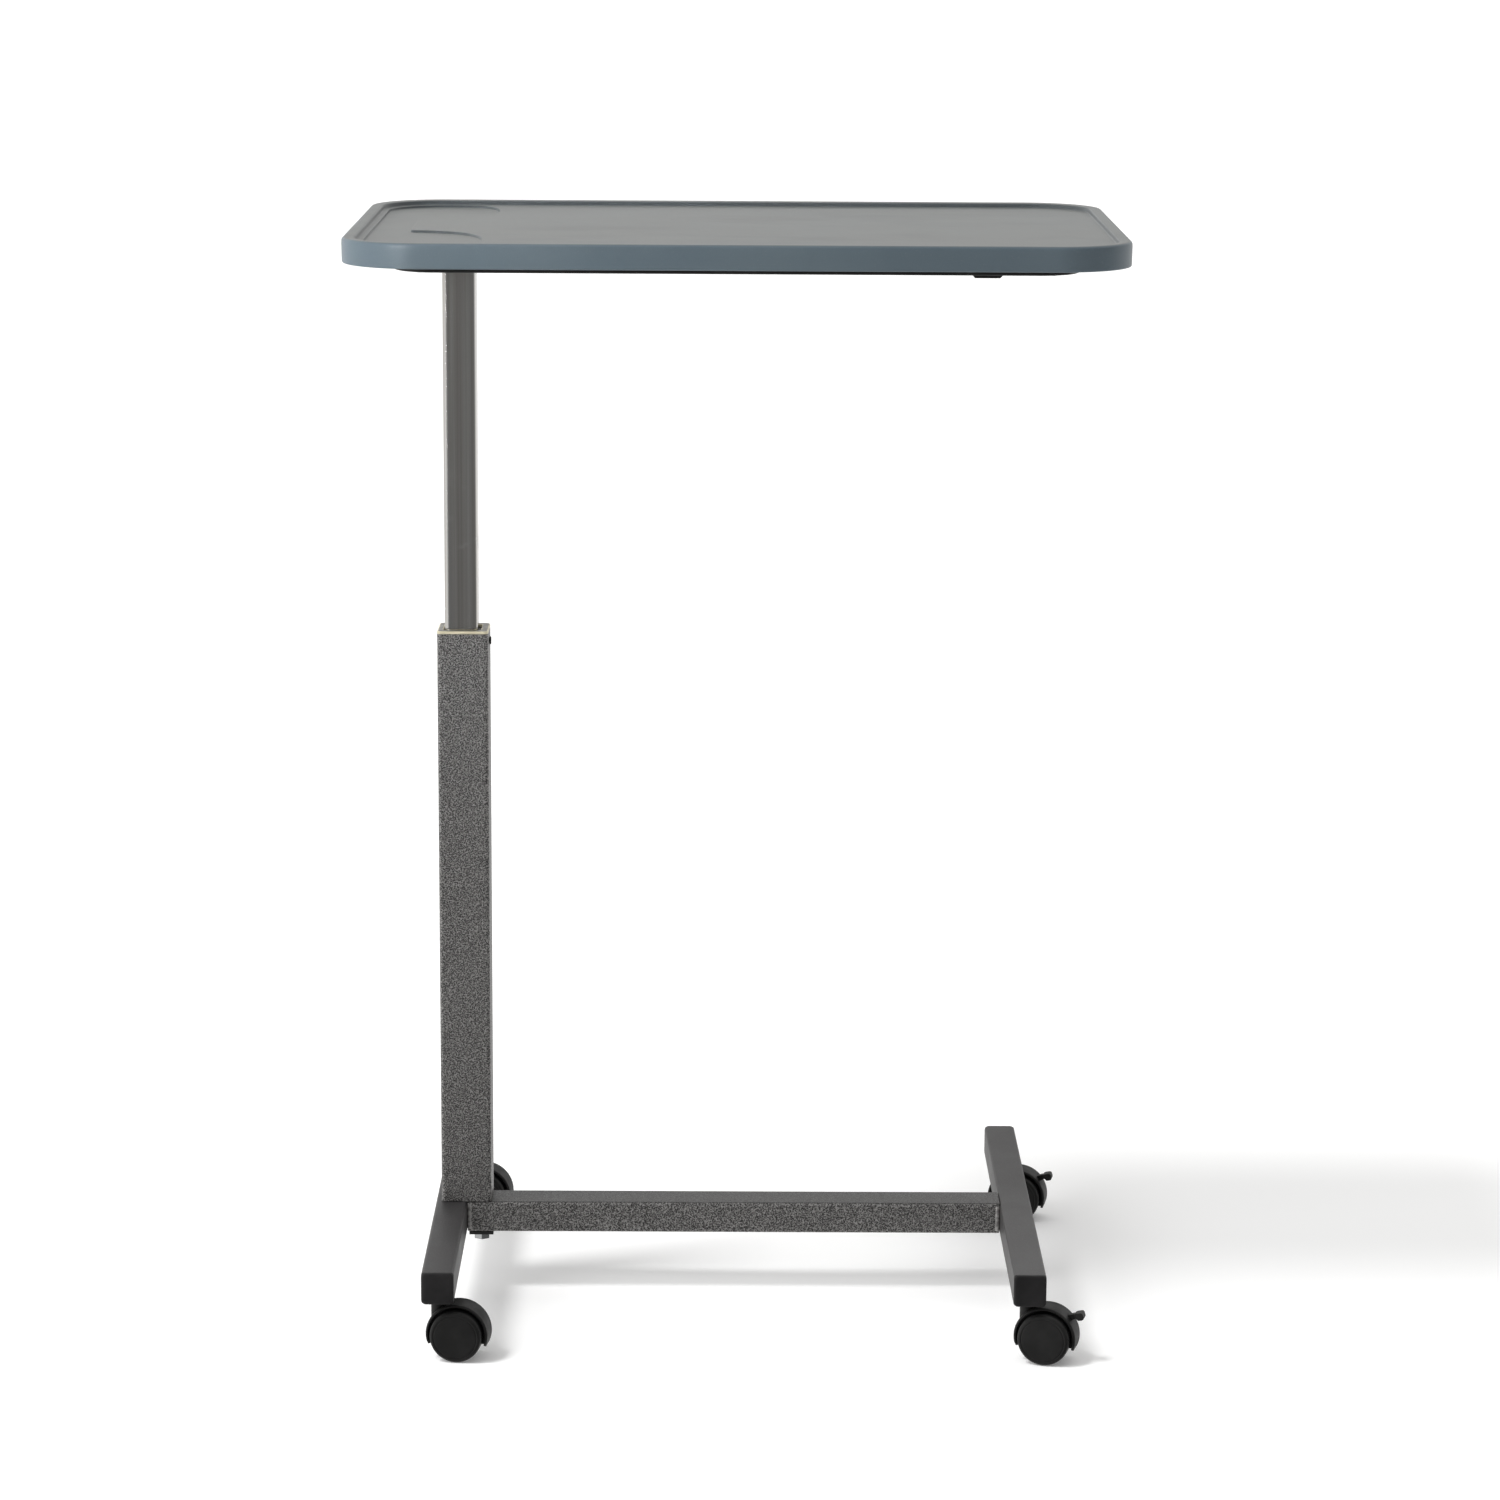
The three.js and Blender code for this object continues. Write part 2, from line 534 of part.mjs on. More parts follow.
function buildPan() {
  const [width, depth] = [TOP_WIDTH - 2 * PAN_INSET, TOP_DEPTH - 2 * PAN_INSET];
  const wallTop = TRAY_UNDERSIDE - GAP;
  const outer = slab(width, depth, PAN_CORNER, PAN_BOTTOM, wallTop);
  const inner = slab(width - 2 * PAN_WALL, depth - 2 * PAN_WALL, PAN_CORNER - PAN_WALL,
    PAN_FLOOR, wallTop + OVERLAP);
  const holeSide = SOCKET_SIDE + 1;
  const socketHole = slab(holeSide, holeSide, SOCKET_CORNER, PAN_BOTTOM - OVERLAP, PAN_FLOOR + OVERLAP, 2)
    .translate(MAST_X, 0, 0);
  const leverSlot = block(HANDLE_X - PADDLE.width / 2 - SLOT_CLEARANCE.x, PADDLE.front - SLOT_CLEARANCE.y,
    PAN_BOTTOM - OVERLAP, HANDLE_X + PADDLE.width / 2 + SLOT_CLEARANCE.x, PADDLE.back + SLOT_CLEARANCE.y,
    PAN_FLOOR + OVERLAP);
  const screwHoles = cornerScrews((x, y) =>
    post(PAN_SCREW_R + GAP, x, y, PAN_BOTTOM - OVERLAP, PAN_FLOOR + OVERLAP));
  place(group, 'bottom_pan', shape([outer], [inner, socketHole, leverSlot, ...screwHoles]), blackPlastic);

  cornerScrews((x, y, label) => place(group, `pan_screw_${label}`, shape([
    post(PAN_SCREW_HEAD_R, x, y, PAN_BOTTOM - GAP - PAN_SCREW_HEAD, PAN_BOTTOM - GAP),
    post(PAN_SCREW_R, x, y, PAN_BOTTOM - GAP - OVERLAP, PAN_BOTTOM + PAN_SCREW_LENGTH),
  ]), zinc));
}

// Calls `make` for the four screws that hold the pan to the tray's bosses.
function cornerScrews(make) {
  const made = [];
  for (const [sx, sideX] of [[-1, 'left'], [1, 'right']]) {
    for (const [sy, sideY] of [[-1, 'front'], [1, 'rear']]) {
      made.push(make(sx * PAN_SCREW_X, sy * PAN_SCREW_Y, `${sideY}_${sideX}`));
    }
  }
  return made;
}

// Shallow recess at the column's end: a band round the rim with wide corners, wrapped
// round a tongue of the tray floor. It is symmetrical about y = 0.
function recessOutline() {
  const outline = new THREE.Shape();
  outline.moveTo(-356, 0);
  outline.lineTo(-356, 178);
  outline.absarc(-298, 178, 58, Math.PI, Math.PI / 2, true);
  outline.lineTo(-282, 236);
  outline.bezierCurveTo(-262, 236, -246, 220, -244, 190);
  outline.bezierCurveTo(-239, 150, -244, 86, -282, 66);
  outline.bezierCurveTo(-292, 60, -304, 58, -310, 57);
  outline.quadraticCurveTo(-318, 56, -318, 48);
  outline.lineTo(-318, -48);
  outline.quadraticCurveTo(-318, -56, -310, -57);
  outline.bezierCurveTo(-304, -58, -292, -60, -282, -66);
  outline.bezierCurveTo(-244, -86, -239, -150, -244, -190);
  outline.bezierCurveTo(-246, -220, -262, -236, -282, -236);
  outline.lineTo(-298, -236);
  outline.absarc(-298, -178, 58, -Math.PI / 2, -Math.PI, true);
  return outline;
}

function buildTray() {
  const body = slab(TOP_WIDTH, TOP_DEPTH, TOP_CORNER, SKIRT_BOTTOM, TOP_Z, 5, TOP_EDGE);
  const well = slab(TOP_WIDTH - 2 * RIM_WIDTH, TOP_DEPTH - 2 * RIM_WIDTH, TOP_CORNER - RIM_WIDTH,
    TRAY_FLOOR, TOP_Z + OVERLAP, 5);
  const hollow = slab(TOP_WIDTH - 2 * SKIRT_WALL, TOP_DEPTH - 2 * SKIRT_WALL, TOP_CORNER - SKIRT_WALL,
    SKIRT_BOTTOM - OVERLAP, TRAY_UNDERSIDE, 5);
  const recess = extrude(recessOutline(), RECESS_DEPTH + OVERLAP, 4)
    .translate(0, 0, TRAY_FLOOR - RECESS_DEPTH);
  const bosses = cornerScrews((x, y) =>
    post(PAN_BOSS_R, x, y, PAN_FLOOR + GAP, TRAY_UNDERSIDE + OVERLAP));
  const bossHoles = cornerScrews((x, y) =>
    post(PAN_SCREW_R + GAP, x, y, PAN_FLOOR, PAN_BOTTOM + PAN_SCREW_LENGTH + OVERLAP));
  const screwHoles = [];
  for (const x of TOP_SCREW_X) {
    for (const side of [-1, 1]) {
      screwHoles.push(post(TOP_SCREW_R + GAP, x, side * RAIL.centreY,
        TRAY_UNDERSIDE - OVERLAP, TRAY_UNDERSIDE + TOP_SCREW_BITE + GAP));
    }
  }
  const skirt = fromSolid(toSolid(body).subtract(toSolid(hollow)));
  const tray = shape([skirt, ...bosses], [well, recess, ...bossHoles, ...screwHoles]);
  place(group, 'tabletop_tray', tray, trayPlastic);
}

// ---- height release lever ----
function buildLever() {
  const finger = block(MAST_X - FINGER.halfWidth, SHAFT_Y, SHAFT_Z - FINGER.halfThick,
    MAST_X + FINGER.halfWidth, FINGER.reach, SHAFT_Z + FINGER.halfThick);
  const shaft = rodX(SHAFT_R, SHAFT_Y, SHAFT_Z, SHAFT_LEFT, SHAFT_RIGHT);
  place(group, 'lever_shaft', shape([shaft, finger]), zinc);

  // Handle: hub on the shaft, flat arm forward, paddle down through the pan's slot.
  const arm = new THREE.Shape();
  arm.moveTo(SHAFT_Y + 3, SHAFT_Z - 5);
  arm.lineTo(PADDLE.back, PADDLE.top - GAP);
  arm.lineTo(PADDLE.front + 1, PADDLE.top - GAP);
  arm.lineTo(PADDLE.front + 1, PADDLE.top + 4);
  arm.lineTo(PADDLE.back, PADDLE.top + 6);
  arm.lineTo(SHAFT_Y - 3, SHAFT_Z + 2);
  const paddle = new THREE.Shape();
  paddle.moveTo(-PADDLE.width / 2, PADDLE.top);
  paddle.lineTo(-PADDLE.width / 2, PAN_BOTTOM - 1);
  paddle.lineTo(-PADDLE.foot / 2, PADDLE.bottom);
  paddle.lineTo(PADDLE.foot / 2, PADDLE.bottom);
  paddle.lineTo(PADDLE.width / 2, PAN_BOTTOM - 1);
  paddle.lineTo(PADDLE.width / 2, PADDLE.top);
  const armSolid = plate(arm, HANDLE_ARM).rotateZ(Math.PI / 2).translate(HANDLE_X, 0, 0);
  const paddleSolid = plate(paddle, PADDLE.back - PADDLE.front)
    .translate(HANDLE_X, (PADDLE.back + PADDLE.front) / 2, 0);
  const hub = rodX(HANDLE_HUB_R, SHAFT_Y, SHAFT_Z, HANDLE_X - HANDLE_HUB / 2, HANDLE_X + HANDLE_HUB / 2);
  const bore = rodX(SHAFT_R + GAP, SHAFT_Y, SHAFT_Z, HANDLE_X - HANDLE_HUB, HANDLE_X + HANDLE_HUB);
  place(group, 'lever_handle', shape([armSolid, paddleSolid, hub], [bore]), blackPlastic);

  const seats = [HEAD_PLATE_TOP + GAP, RAIL_BOTTOM + TIE_THICK + GAP];
  BEARING_X.forEach((x, i) => {
    const body = block(x - BEARING.x / 2, SHAFT_Y - BEARING.y / 2, seats[i],
      x + BEARING.x / 2, SHAFT_Y + BEARING.y / 2, RAIL_TOP);
    const hole = rodX(SHAFT_R + GAP, SHAFT_Y, SHAFT_Z, x - BEARING.x, x + BEARING.x);
    place(group, `shaft_bearing_${i === 0 ? 'left' : 'right'}`, shape([body], [hole]), whiteNylon);
  });

  // Return spring wound round the shaft.
  class Helix extends THREE.Curve {
    getPoint(t, target = new THREE.Vector3()) {
      const angle = t * SPRING.turns * Math.PI * 2;
      return target.set(SPRING.x + t * SPRING.turns * SPRING.pitch,
        SHAFT_Y + SPRING.coilR * Math.cos(angle), SHAFT_Z + SPRING.coilR * Math.sin(angle));
    }
  }
  const wire = new THREE.Shape();
  wire.absarc(0, 0, SPRING.wireR, 0, Math.PI * 2);
  const coil = { extrudePath: new Helix(), steps: SPRING.turns * 10, curveSegments: 3 };
  place(group, 'lever_spring', new THREE.ExtrudeGeometry(wire, coil), zinc);
}

// ---- casters: local x is the trail direction, local y the axle, z = 0 the floor ----
function hoodGeometry(brake) {
  const tip = THREE.MathUtils.degToRad(HOOD_TIP_ANGLE);
  const band = new THREE.Shape();
  band.absarc(0, 0, HOOD_R, -tip, Math.PI + tip);
  band.absarc(0, 0, HOOD_INNER_R, Math.PI + tip, -tip, true);
  const web = new THREE.Shape();
  web.absarc(0, 0, (HOOD_R + HOOD_INNER_R) / 2, -tip, Math.PI + tip);
  const fender = plate(band, 2 * HOOD_HALF).translate(TRAIL, 0, WHEEL_R);
  const centre = plate(web, 2 * WEB_HALF).translate(TRAIL, 0, WHEEL_R);
  const neck = post(NECK_R, 0, 0, WHEEL_R + AXLE_COVER, NECK_TOP);
  const wheelSpaces = [-1, 1].map((side) => {
    const [near, far] = [side * WEB_HALF, side * (HOOD_HALF + OVERLAP)];
    const ends = [Math.min(near, far), Math.max(near, far)];
    return rodY(HOOD_INNER_R - 0.01, TRAIL, WHEEL_R, ...ends, 2 * ARC_STEPS);
  });
  const cuts = [
    post(STEM_PIN_R + GAP, 0, 0, NECK_TOP - STEM_PIN_DEPTH - OVERLAP, NECK_TOP + OVERLAP),
    rodY(AXLE_R + GAP, TRAIL, WHEEL_R, -WEB_HALF - OVERLAP, WEB_HALF + OVERLAP),
  ];
  if (brake) {
    const [px, pz] = [TRAIL + BRAKE_PIVOT.x, WHEEL_R + BRAKE_PIVOT.y];
    const half = BRAKE_STALK_HALF + GAP;
    const mouth = new THREE.Shape();
    mouth.moveTo(0, 0);
    mouth.lineTo(17, -9);
    mouth.lineTo(17, 14);
    cuts.push(plate(mouth, 2 * half).translate(px, 0, pz), rodY(BRAKE_MOUTH_R, px, pz, -half, half));
    cuts.push(rodY(TRUNNION_R + GAP, px, pz, -WEB_HALF - OVERLAP, WEB_HALF + OVERLAP));
  }
  const neckOnly = fromSolid(wheelSpaces.map(toSolid).reduce((a, b) => a.subtract(b), toSolid(neck)));
  return shape([fender, centre, neckOnly], cuts);
}

// The tread is flat under the axle, so each wheel stands on one facet.
function wheelGeometry() {
  const r = WHEEL_R / Math.cos(Math.PI / WHEEL_SIDES);
  return turned([
    [0, AXLE_HALF + GAP], [AXLE_R + GAP, AXLE_HALF + GAP], [AXLE_R + GAP, WHEEL_INNER],
    [r - 1.5, WHEEL_INNER], [r, WHEEL_INNER + 1.5], [r, WHEEL_OUTER - 4], [r - 1.2, WHEEL_OUTER - 1.4],
    [r - 4, WHEEL_OUTER], [0, WHEEL_OUTER],
  ], WHEEL_SIDES).rotateZ(Math.PI / WHEEL_SIDES);
}

function buildCasters() {
  for (const { id, x, y, swivel, brake } of CASTERS) {
    const stem = turned([
      [0, NECK_TOP - STEM_PIN_DEPTH], [STEM_PIN_R, NECK_TOP - STEM_PIN_DEPTH], [STEM_PIN_R, NECK_TOP + GAP],
      [STEM_FLANGE_R, NECK_TOP + GAP], [STEM_FLANGE_R, NECK_TOP + GAP + STEM_FLANGE],
      [STEM_R, NECK_TOP + GAP + STEM_FLANGE], [STEM_R, FOOT_TOP - 6], [0, FOOT_TOP - 6],
    ]);
    place(group, `caster_stem_${id}`, stem, zinc).position.set(x, y, 0);

    const caster = new THREE.Group();
    caster.position.set(x, y, 0);
    caster.rotation.z = THREE.MathUtils.degToRad(swivel);
    group.add(caster);
    place(caster, `caster_hood_${id}`, hoodGeometry(brake), blackPlastic);
    place(caster, `caster_axle_${id}`, rodY(AXLE_R, TRAIL, WHEEL_R, -AXLE_HALF, AXLE_HALF), zinc);
    for (const [side, label] of [[-1, 'near'], [1, 'far']]) {
      const wheel = wheelGeometry().rotateX(side * -Math.PI / 2);
      place(caster, `wheel_${label}_${id}`, wheel, blackPlastic).position.set(TRAIL, 0, WHEEL_R);
    }
    if (brake) place(caster, `brake_lever_${id}`, brakeGeometry(), blackPlastic);
  }
}

// Brake lever: a stalk with two trunnions in the web, and a wider paddle outside the hood.
function brakeGeometry() {
  const outline = (points) => new THREE.Shape(points.map(([x, z]) => new THREE.Vector2(x, z)));
  const stalk = outline([
    [16.5, 15.5], [22, 14.5], [27, 17], [31, 18], [31, 22], [27, 23], [20, 22.3], [16.5, 20],
  ]);
  const paddle = outline([
    [28.5, 19.8], [31, 17.5], [32, 16.2], [36.6, 15.8], [38.6, 18.6], [37.2, 21.8], [34, 23.6], [30, 23.3],
  ]);
  const trunnions = rodY(TRUNNION_R, BRAKE_PIVOT.x, BRAKE_PIVOT.y, -WEB_HALF + GAP, WEB_HALF - GAP, 12);
  return shape([plate(stalk, 2 * BRAKE_STALK_HALF), plate(paddle, 2 * BRAKE_HALF), trunnions])
    .translate(-BRAKE_PIVOT.x, 0, -BRAKE_PIVOT.y)
    .rotateY(-THREE.MathUtils.degToRad(BRAKE_RAISED))
    .translate(TRAIL + BRAKE_PIVOT.x, 0, WHEEL_R + BRAKE_PIVOT.y);
}

buildBase();
buildColumn();
buildMast();
buildFrame();
buildPan();
buildTray();
buildLever();
buildCasters();

export default group;
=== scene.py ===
import json
import math

import bpy
import bmesh
from mathutils import Matrix, Vector


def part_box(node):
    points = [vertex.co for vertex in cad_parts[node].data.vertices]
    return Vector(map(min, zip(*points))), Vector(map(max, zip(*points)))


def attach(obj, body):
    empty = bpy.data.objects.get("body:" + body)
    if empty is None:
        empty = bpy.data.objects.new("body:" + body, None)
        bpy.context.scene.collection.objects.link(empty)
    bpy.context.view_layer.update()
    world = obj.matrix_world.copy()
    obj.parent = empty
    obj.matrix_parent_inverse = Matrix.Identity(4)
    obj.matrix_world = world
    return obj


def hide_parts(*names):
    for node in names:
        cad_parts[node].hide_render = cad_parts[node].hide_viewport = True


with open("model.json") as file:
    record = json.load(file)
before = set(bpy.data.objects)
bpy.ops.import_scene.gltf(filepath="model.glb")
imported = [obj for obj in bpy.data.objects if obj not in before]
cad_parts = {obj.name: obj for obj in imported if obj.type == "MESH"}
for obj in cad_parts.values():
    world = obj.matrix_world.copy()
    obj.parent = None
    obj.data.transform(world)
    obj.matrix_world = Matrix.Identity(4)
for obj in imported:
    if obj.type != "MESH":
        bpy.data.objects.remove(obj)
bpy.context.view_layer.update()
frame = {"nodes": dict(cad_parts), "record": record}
MM = 0.001

# ---------------------------------------------------------------- camera
CAMERA_AT = Vector((-10.06, -4410.08, 1478.46)) * MM
CAMERA_LENS = 106.9
PITCH, YAW, ROLL = (math.radians(a) for a in (11.72, 0.34, 0.34))


def make_camera():
    data = bpy.data.cameras.new("camera")
    data.lens = CAMERA_LENS
    data.sensor_width = 36.0
    data.clip_end = 200.0
    forward = Vector((math.sin(YAW) * math.cos(PITCH), math.cos(YAW) * math.cos(PITCH), -math.sin(PITCH)))
    right = Vector((math.cos(YAW), -math.sin(YAW), 0.0))
    up = right.cross(forward)
    turned_right = right * math.cos(ROLL) + up * math.sin(ROLL)
    turned_up = up * math.cos(ROLL) - right * math.sin(ROLL)
    axes = Matrix((turned_right, turned_up, -forward)).transposed().to_4x4()
    camera = bpy.data.objects.new("camera", data)
    camera.matrix_world = Matrix.Translation(CAMERA_AT) @ axes
    bpy.context.scene.collection.objects.link(camera)
    bpy.context.scene.camera = camera


make_camera()
bpy.context.scene.view_settings.view_transform = "Standard"


# ---------------------------------------------------------------- node materials
class Look:
    """A procedural material around one Principled shader, in the piece's own coordinates."""

    def __init__(self, name, **shader):
        self.material = bpy.data.materials.new(name)
        self.material.use_nodes = True
        self.tree = self.material.node_tree
        self.bsdf = self.tree.nodes["Principled BSDF"]
        for socket, value in shader.items():
            self.bsdf.inputs[socket.replace("_", " ")].default_value = value
        self.object = self.node("ShaderNodeTexCoord").outputs["Object"]

    def node(self, kind, **settings):
        made = self.tree.nodes.new(kind)
        for key, value in settings.items():
            setattr(made, key, value)
        return made

    def put(self, value, socket):
        if isinstance(value, bpy.types.NodeSocket):
            self.tree.links.new(value, socket)
        else:
            socket.default_value = value

    def stretched(self, x, y, z):
        mapping = self.node("ShaderNodeMapping")
        self.put(self.object, mapping.inputs["Vector"])
        mapping.inputs["Scale"].default_value = (x, y, z)
        return mapping.outputs["Vector"]

    def noise(self, scale, detail, roughness=0.5, where=None):
        made = self.node("ShaderNodeTexNoise")
        self.put(where or self.object, made.inputs["Vector"])
        made.inputs["Scale"].default_value = scale
        made.inputs["Detail"].default_value = detail
        made.inputs["Roughness"].default_value = roughness
        return made.outputs["Fac"]

    def cells(self, scale, feature):
        made = self.node("ShaderNodeTexVoronoi", feature=feature)
        self.put(self.object, made.inputs["Vector"])
        made.inputs["Scale"].default_value = scale
        return made.outputs["Distance"]

    def ramp(self, value, low, high, to_low=0.0, to_high=1.0):
        made = self.node("ShaderNodeMapRange", interpolation_type="SMOOTHSTEP")
        self.put(value, made.inputs["Value"])
        limits = {"From Min": low, "From Max": high, "To Min": to_low, "To Max": to_high}
        for socket, number in limits.items():
            made.inputs[socket].default_value = number
        return made.outputs["Result"]

    def math(self, operation, a, b=0.0):
        made = self.node("ShaderNodeMath", operation=operation)
        self.put(a, made.inputs[0])
        self.put(b, made.inputs[1])
        return made.outputs["Value"]

    def mix(self, factor, a, b):
        made = self.node("ShaderNodeMix", data_type="RGBA")
        self.put(factor, made.inputs["Factor"])
        self.put(a, made.inputs[6])
        self.put(b, made.inputs[7])
        return made.outputs[2]

    def split(self, vector):
        made = self.node("ShaderNodeSeparateXYZ")
        self.put(vector, made.inputs["Vector"])
        return made.outputs

    def normal_up(self):
        return self.split(self.node("ShaderNodeNewGeometry").outputs["Normal"])["Z"]

    def colour(self, value):
        self.put(value, self.bsdf.inputs["Base Color"])

    def roughness(self, value):
        self.put(value, self.bsdf.inputs["Roughness"])

    def bump(self, height, distance, strength):
        made = self.node("ShaderNodeBump")
        made.inputs["Distance"].default_value = distance
        made.inputs["Strength"].default_value = strength
        self.put(height, made.inputs["Height"])
        previous = self.bsdf.inputs["Normal"].links
        if previous:
            self.put(previous[0].from_socket, made.inputs["Normal"])
        self.put(made.outputs["Normal"], self.bsdf.inputs["Normal"])


def grey(value, warm=0.0):
    return (value * (1 + warm), value, value * (1 - warm), 1.0)


STRAIGHT_HALF = Vector((0.300, 0.1775))  # from the middle to where the corner arcs begin
RIM_REACH = 0.067  # from there to the middle of the raised rim


def tray_look():
    look = Look("tray_plastic", Specular_IOR_Level=0.42)
    blue = look.mix(look.ramp(look.noise(9, 3), 0.3, 0.7), (0.080, 0.108, 0.128, 1), (0.092, 0.121, 0.141, 1))
    smudge = look.noise(5.5, 5, 0.62)
    wiped = look.noise(7, 3, 0.6, look.stretched(1, 1.6, 1))
    # Upward faces get a neutral grey in place of the blue: painted sheen of the overhead light on the same
    # plastic. The smudge and wipe marks in it are wear.
    flat = look.mix(look.ramp(smudge, 0.34, 0.68), (0.108, 0.116, 0.116, 1), (0.136, 0.142, 0.139, 1))
    flat = look.mix(look.ramp(wiped, 0.45, 0.75, 0, 0.14), flat, (0.094, 0.102, 0.104, 1))
    top_sheen_mask = look.ramp(look.normal_up(), 0.80, 0.99)
    across = look.split(look.object)
    squares = []
    for axis, straight in (("X", STRAIGHT_HALF.x), ("Y", STRAIGHT_HALF.y)):
        past = look.math("MAXIMUM", look.math("SUBTRACT", look.math("ABSOLUTE", across[axis]), straight), 0.0)
        squares.append(look.math("MULTIPLY", past, past))
    reach = look.math("SQRT", look.math("ADD", *squares))
    # Walls inside the rim's middle (inner rim and recess steps) are painted a darker grey: painted shade
    # inside the tray.
    inner_wall_shade_mask = look.ramp(reach, RIM_REACH, RIM_REACH + 0.002, 1.0, 0.0)
    walls_with_painted_shade = look.mix(inner_wall_shade_mask, blue, (0.068, 0.078, 0.083, 1))
    colour = look.mix(top_sheen_mask, walls_with_painted_shade, flat)
    speck = look.ramp(look.noise(900, 2), 0.60, 0.78, 0, 0.25)
    look.colour(look.mix(speck, colour, (0.20, 0.22, 0.23, 1)))
    rough = look.math("ADD", look.ramp(smudge, 0.3, 0.7, 0.30, 0.36), look.ramp(wiped, 0.4, 0.8, 0, 0.03))
    look.roughness(look.math("ADD", rough, look.ramp(look.normal_up(), 0.80, 0.99, 0.0, 0.10)))
    look.bump(look.noise(1400, 2), 0.00012, 0.5)
    look.bump(look.noise(60, 2), 0.0003, 0.25)
    return look.material


def moulded_look(name, dark, light, low, high, grain=900):
    look = Look(name, Specular_IOR_Level=0.32)
    wear = look.noise(22, 4, 0.6)
    look.colour(look.mix(look.ramp(wear, 0.35, 0.7), dark, light))
    look.roughness(look.ramp(look.noise(70, 3), 0.3, 0.7, low, high))
    look.bump(look.noise(grain, 2), 0.00012, 0.45)
    return look.material


def hammertone_look():
    look = Look("hammertone", Metallic=0.30, Specular_IOR_Level=0.5)
    pools = look.cells(760, "SMOOTH_F1")
    veins = look.noise(900, 2, 0.6)
    speck = look.math("ADD", look.math("MULTIPLY", pools, 0.6), look.math("MULTIPLY", veins, 1.1))
    tone = look.ramp(speck, 0.66, 1.02)
    cloud = look.ramp(look.noise(8, 3), 0.35, 0.7)
    # Upward faces get fewer light specks and a darker ground.
    tops_fewer_specks = look.ramp(look.normal_up(), 0.7, 0.98, 1.0, 0.12)
    dark = look.mix(cloud, (0.026, 0.025, 0.0245, 1), (0.036, 0.035, 0.034, 1))
    dark = look.mix(look.ramp(look.normal_up(), 0.7, 0.98), dark, (0.021, 0.0205, 0.020, 1))
    look.colour(look.mix(look.math("MULTIPLY", tone, tops_fewer_specks), dark, (0.30, 0.293, 0.286, 1)))
    look.roughness(look.ramp(speck, 0.6, 1.05, 0.48, 0.34))
    look.bump(speck, 0.00030, 0.7)
    return look.material


def satin_look():
    look = Look("satin_grey", Metallic=0.20, Specular_IOR_Level=0.42)
    cloud = look.noise(11, 4, 0.6)
    fine = look.noise(760, 2)
    base = look.mix(look.ramp(cloud, 0.3, 0.7), (0.036, 0.035, 0.0355, 1), (0.052, 0.050, 0.0505, 1))
    look.colour(look.mix(look.ramp(fine, 0.5, 0.8, 0, 0.6), base, (0.11, 0.108, 0.11, 1)))
    look.roughness(look.ramp(cloud, 0.3, 0.7, 0.44, 0.54))
    look.bump(fine, 0.00022, 0.6)
    return look.material


def mast_look():
    look = Look("polished_steel", Metallic=1.0)
    streak = look.noise(1.0, 4, 0.6, look.stretched(260, 260, 1.2))
    wide = look.noise(1.0, 2, 0.5, look.stretched(70, 70, 2.2))
    height = look.split(look.object)["Z"]
    base = look.mix(look.ramp(streak, 0.25, 0.75), (0.52, 0.505, 0.48, 1), (0.66, 0.645, 0.62, 1))
    base = look.mix(look.ramp(wide, 0.4, 0.7, 0, 0.5), base, (0.70, 0.70, 0.70, 1))
    low = look.ramp(height, 0.88, 0.69)
    band = look.ramp(look.noise(1.0, 3, 0.6, look.stretched(20, 20, 34)), 0.52, 0.66)
    scuffs = look.math("MULTIPLY", look.math("MULTIPLY", band, low), 0.7)
    look.colour(look.mix(scuffs, base, (0.74, 0.74, 0.74, 1)))
    rough = look.ramp(streak, 0.2, 0.8, 0.13, 0.22)
    look.roughness(look.math("ADD", rough, look.math("MULTIPLY", scuffs, 0.45)))
    look.bump(streak, 0.00005, 0.35)
    return look.material


def collar_look():
    look = Look("gold_metal", Metallic=0.35, Specular_IOR_Level=0.5)
    worn = look.ramp(look.noise(60, 4, 0.6), 0.3, 0.7)
    side = look.mix(worn, (0.64, 0.585, 0.42, 1), (0.80, 0.745, 0.55, 1))
    # The top's darker tan is painted shade on the collar's upward face; the side colour is the collar's gold.
    top = look.mix(worn, (0.12, 0.114, 0.100, 1), (0.21, 0.20, 0.172, 1))
    look.colour(look.mix(look.ramp(look.normal_up(), 0.975, 0.999), side, top))
    look.roughness(look.ramp(look.noise(140, 3), 0.3, 0.7, 0.28, 0.42))
    look.bump(look.noise(300, 2), 0.00008, 0.4)
    return look.material


METAL_GRAIN = 40


def metal_look(name, dark, light, low, high):
    look = Look(name, Metallic=1.0)
    spots = look.noise(METAL_GRAIN, 4, 0.6)
    look.colour(look.mix(look.ramp(spots, 0.3, 0.7), dark, light))
    look.roughness(look.ramp(look.noise(METAL_GRAIN * 4, 3), 0.3, 0.7, low, high))
    look.bump(look.noise(METAL_GRAIN * 12, 2), 0.00004, 0.3)
    return look.material


def weld_look():
    look = Look("weld_paint", Metallic=0.4, Specular_IOR_Level=0.6)
    ripple = look.noise(240, 3, 0.6)
    look.colour(look.mix(look.ramp(ripple, 0.35, 0.65), (0.20, 0.195, 0.19, 1), (0.44, 0.43, 0.42, 1)))
    look.roughness(look.ramp(ripple, 0.3, 0.7, 0.28, 0.40))
    look.bump(ripple, 0.0003, 0.6)
    return look.material


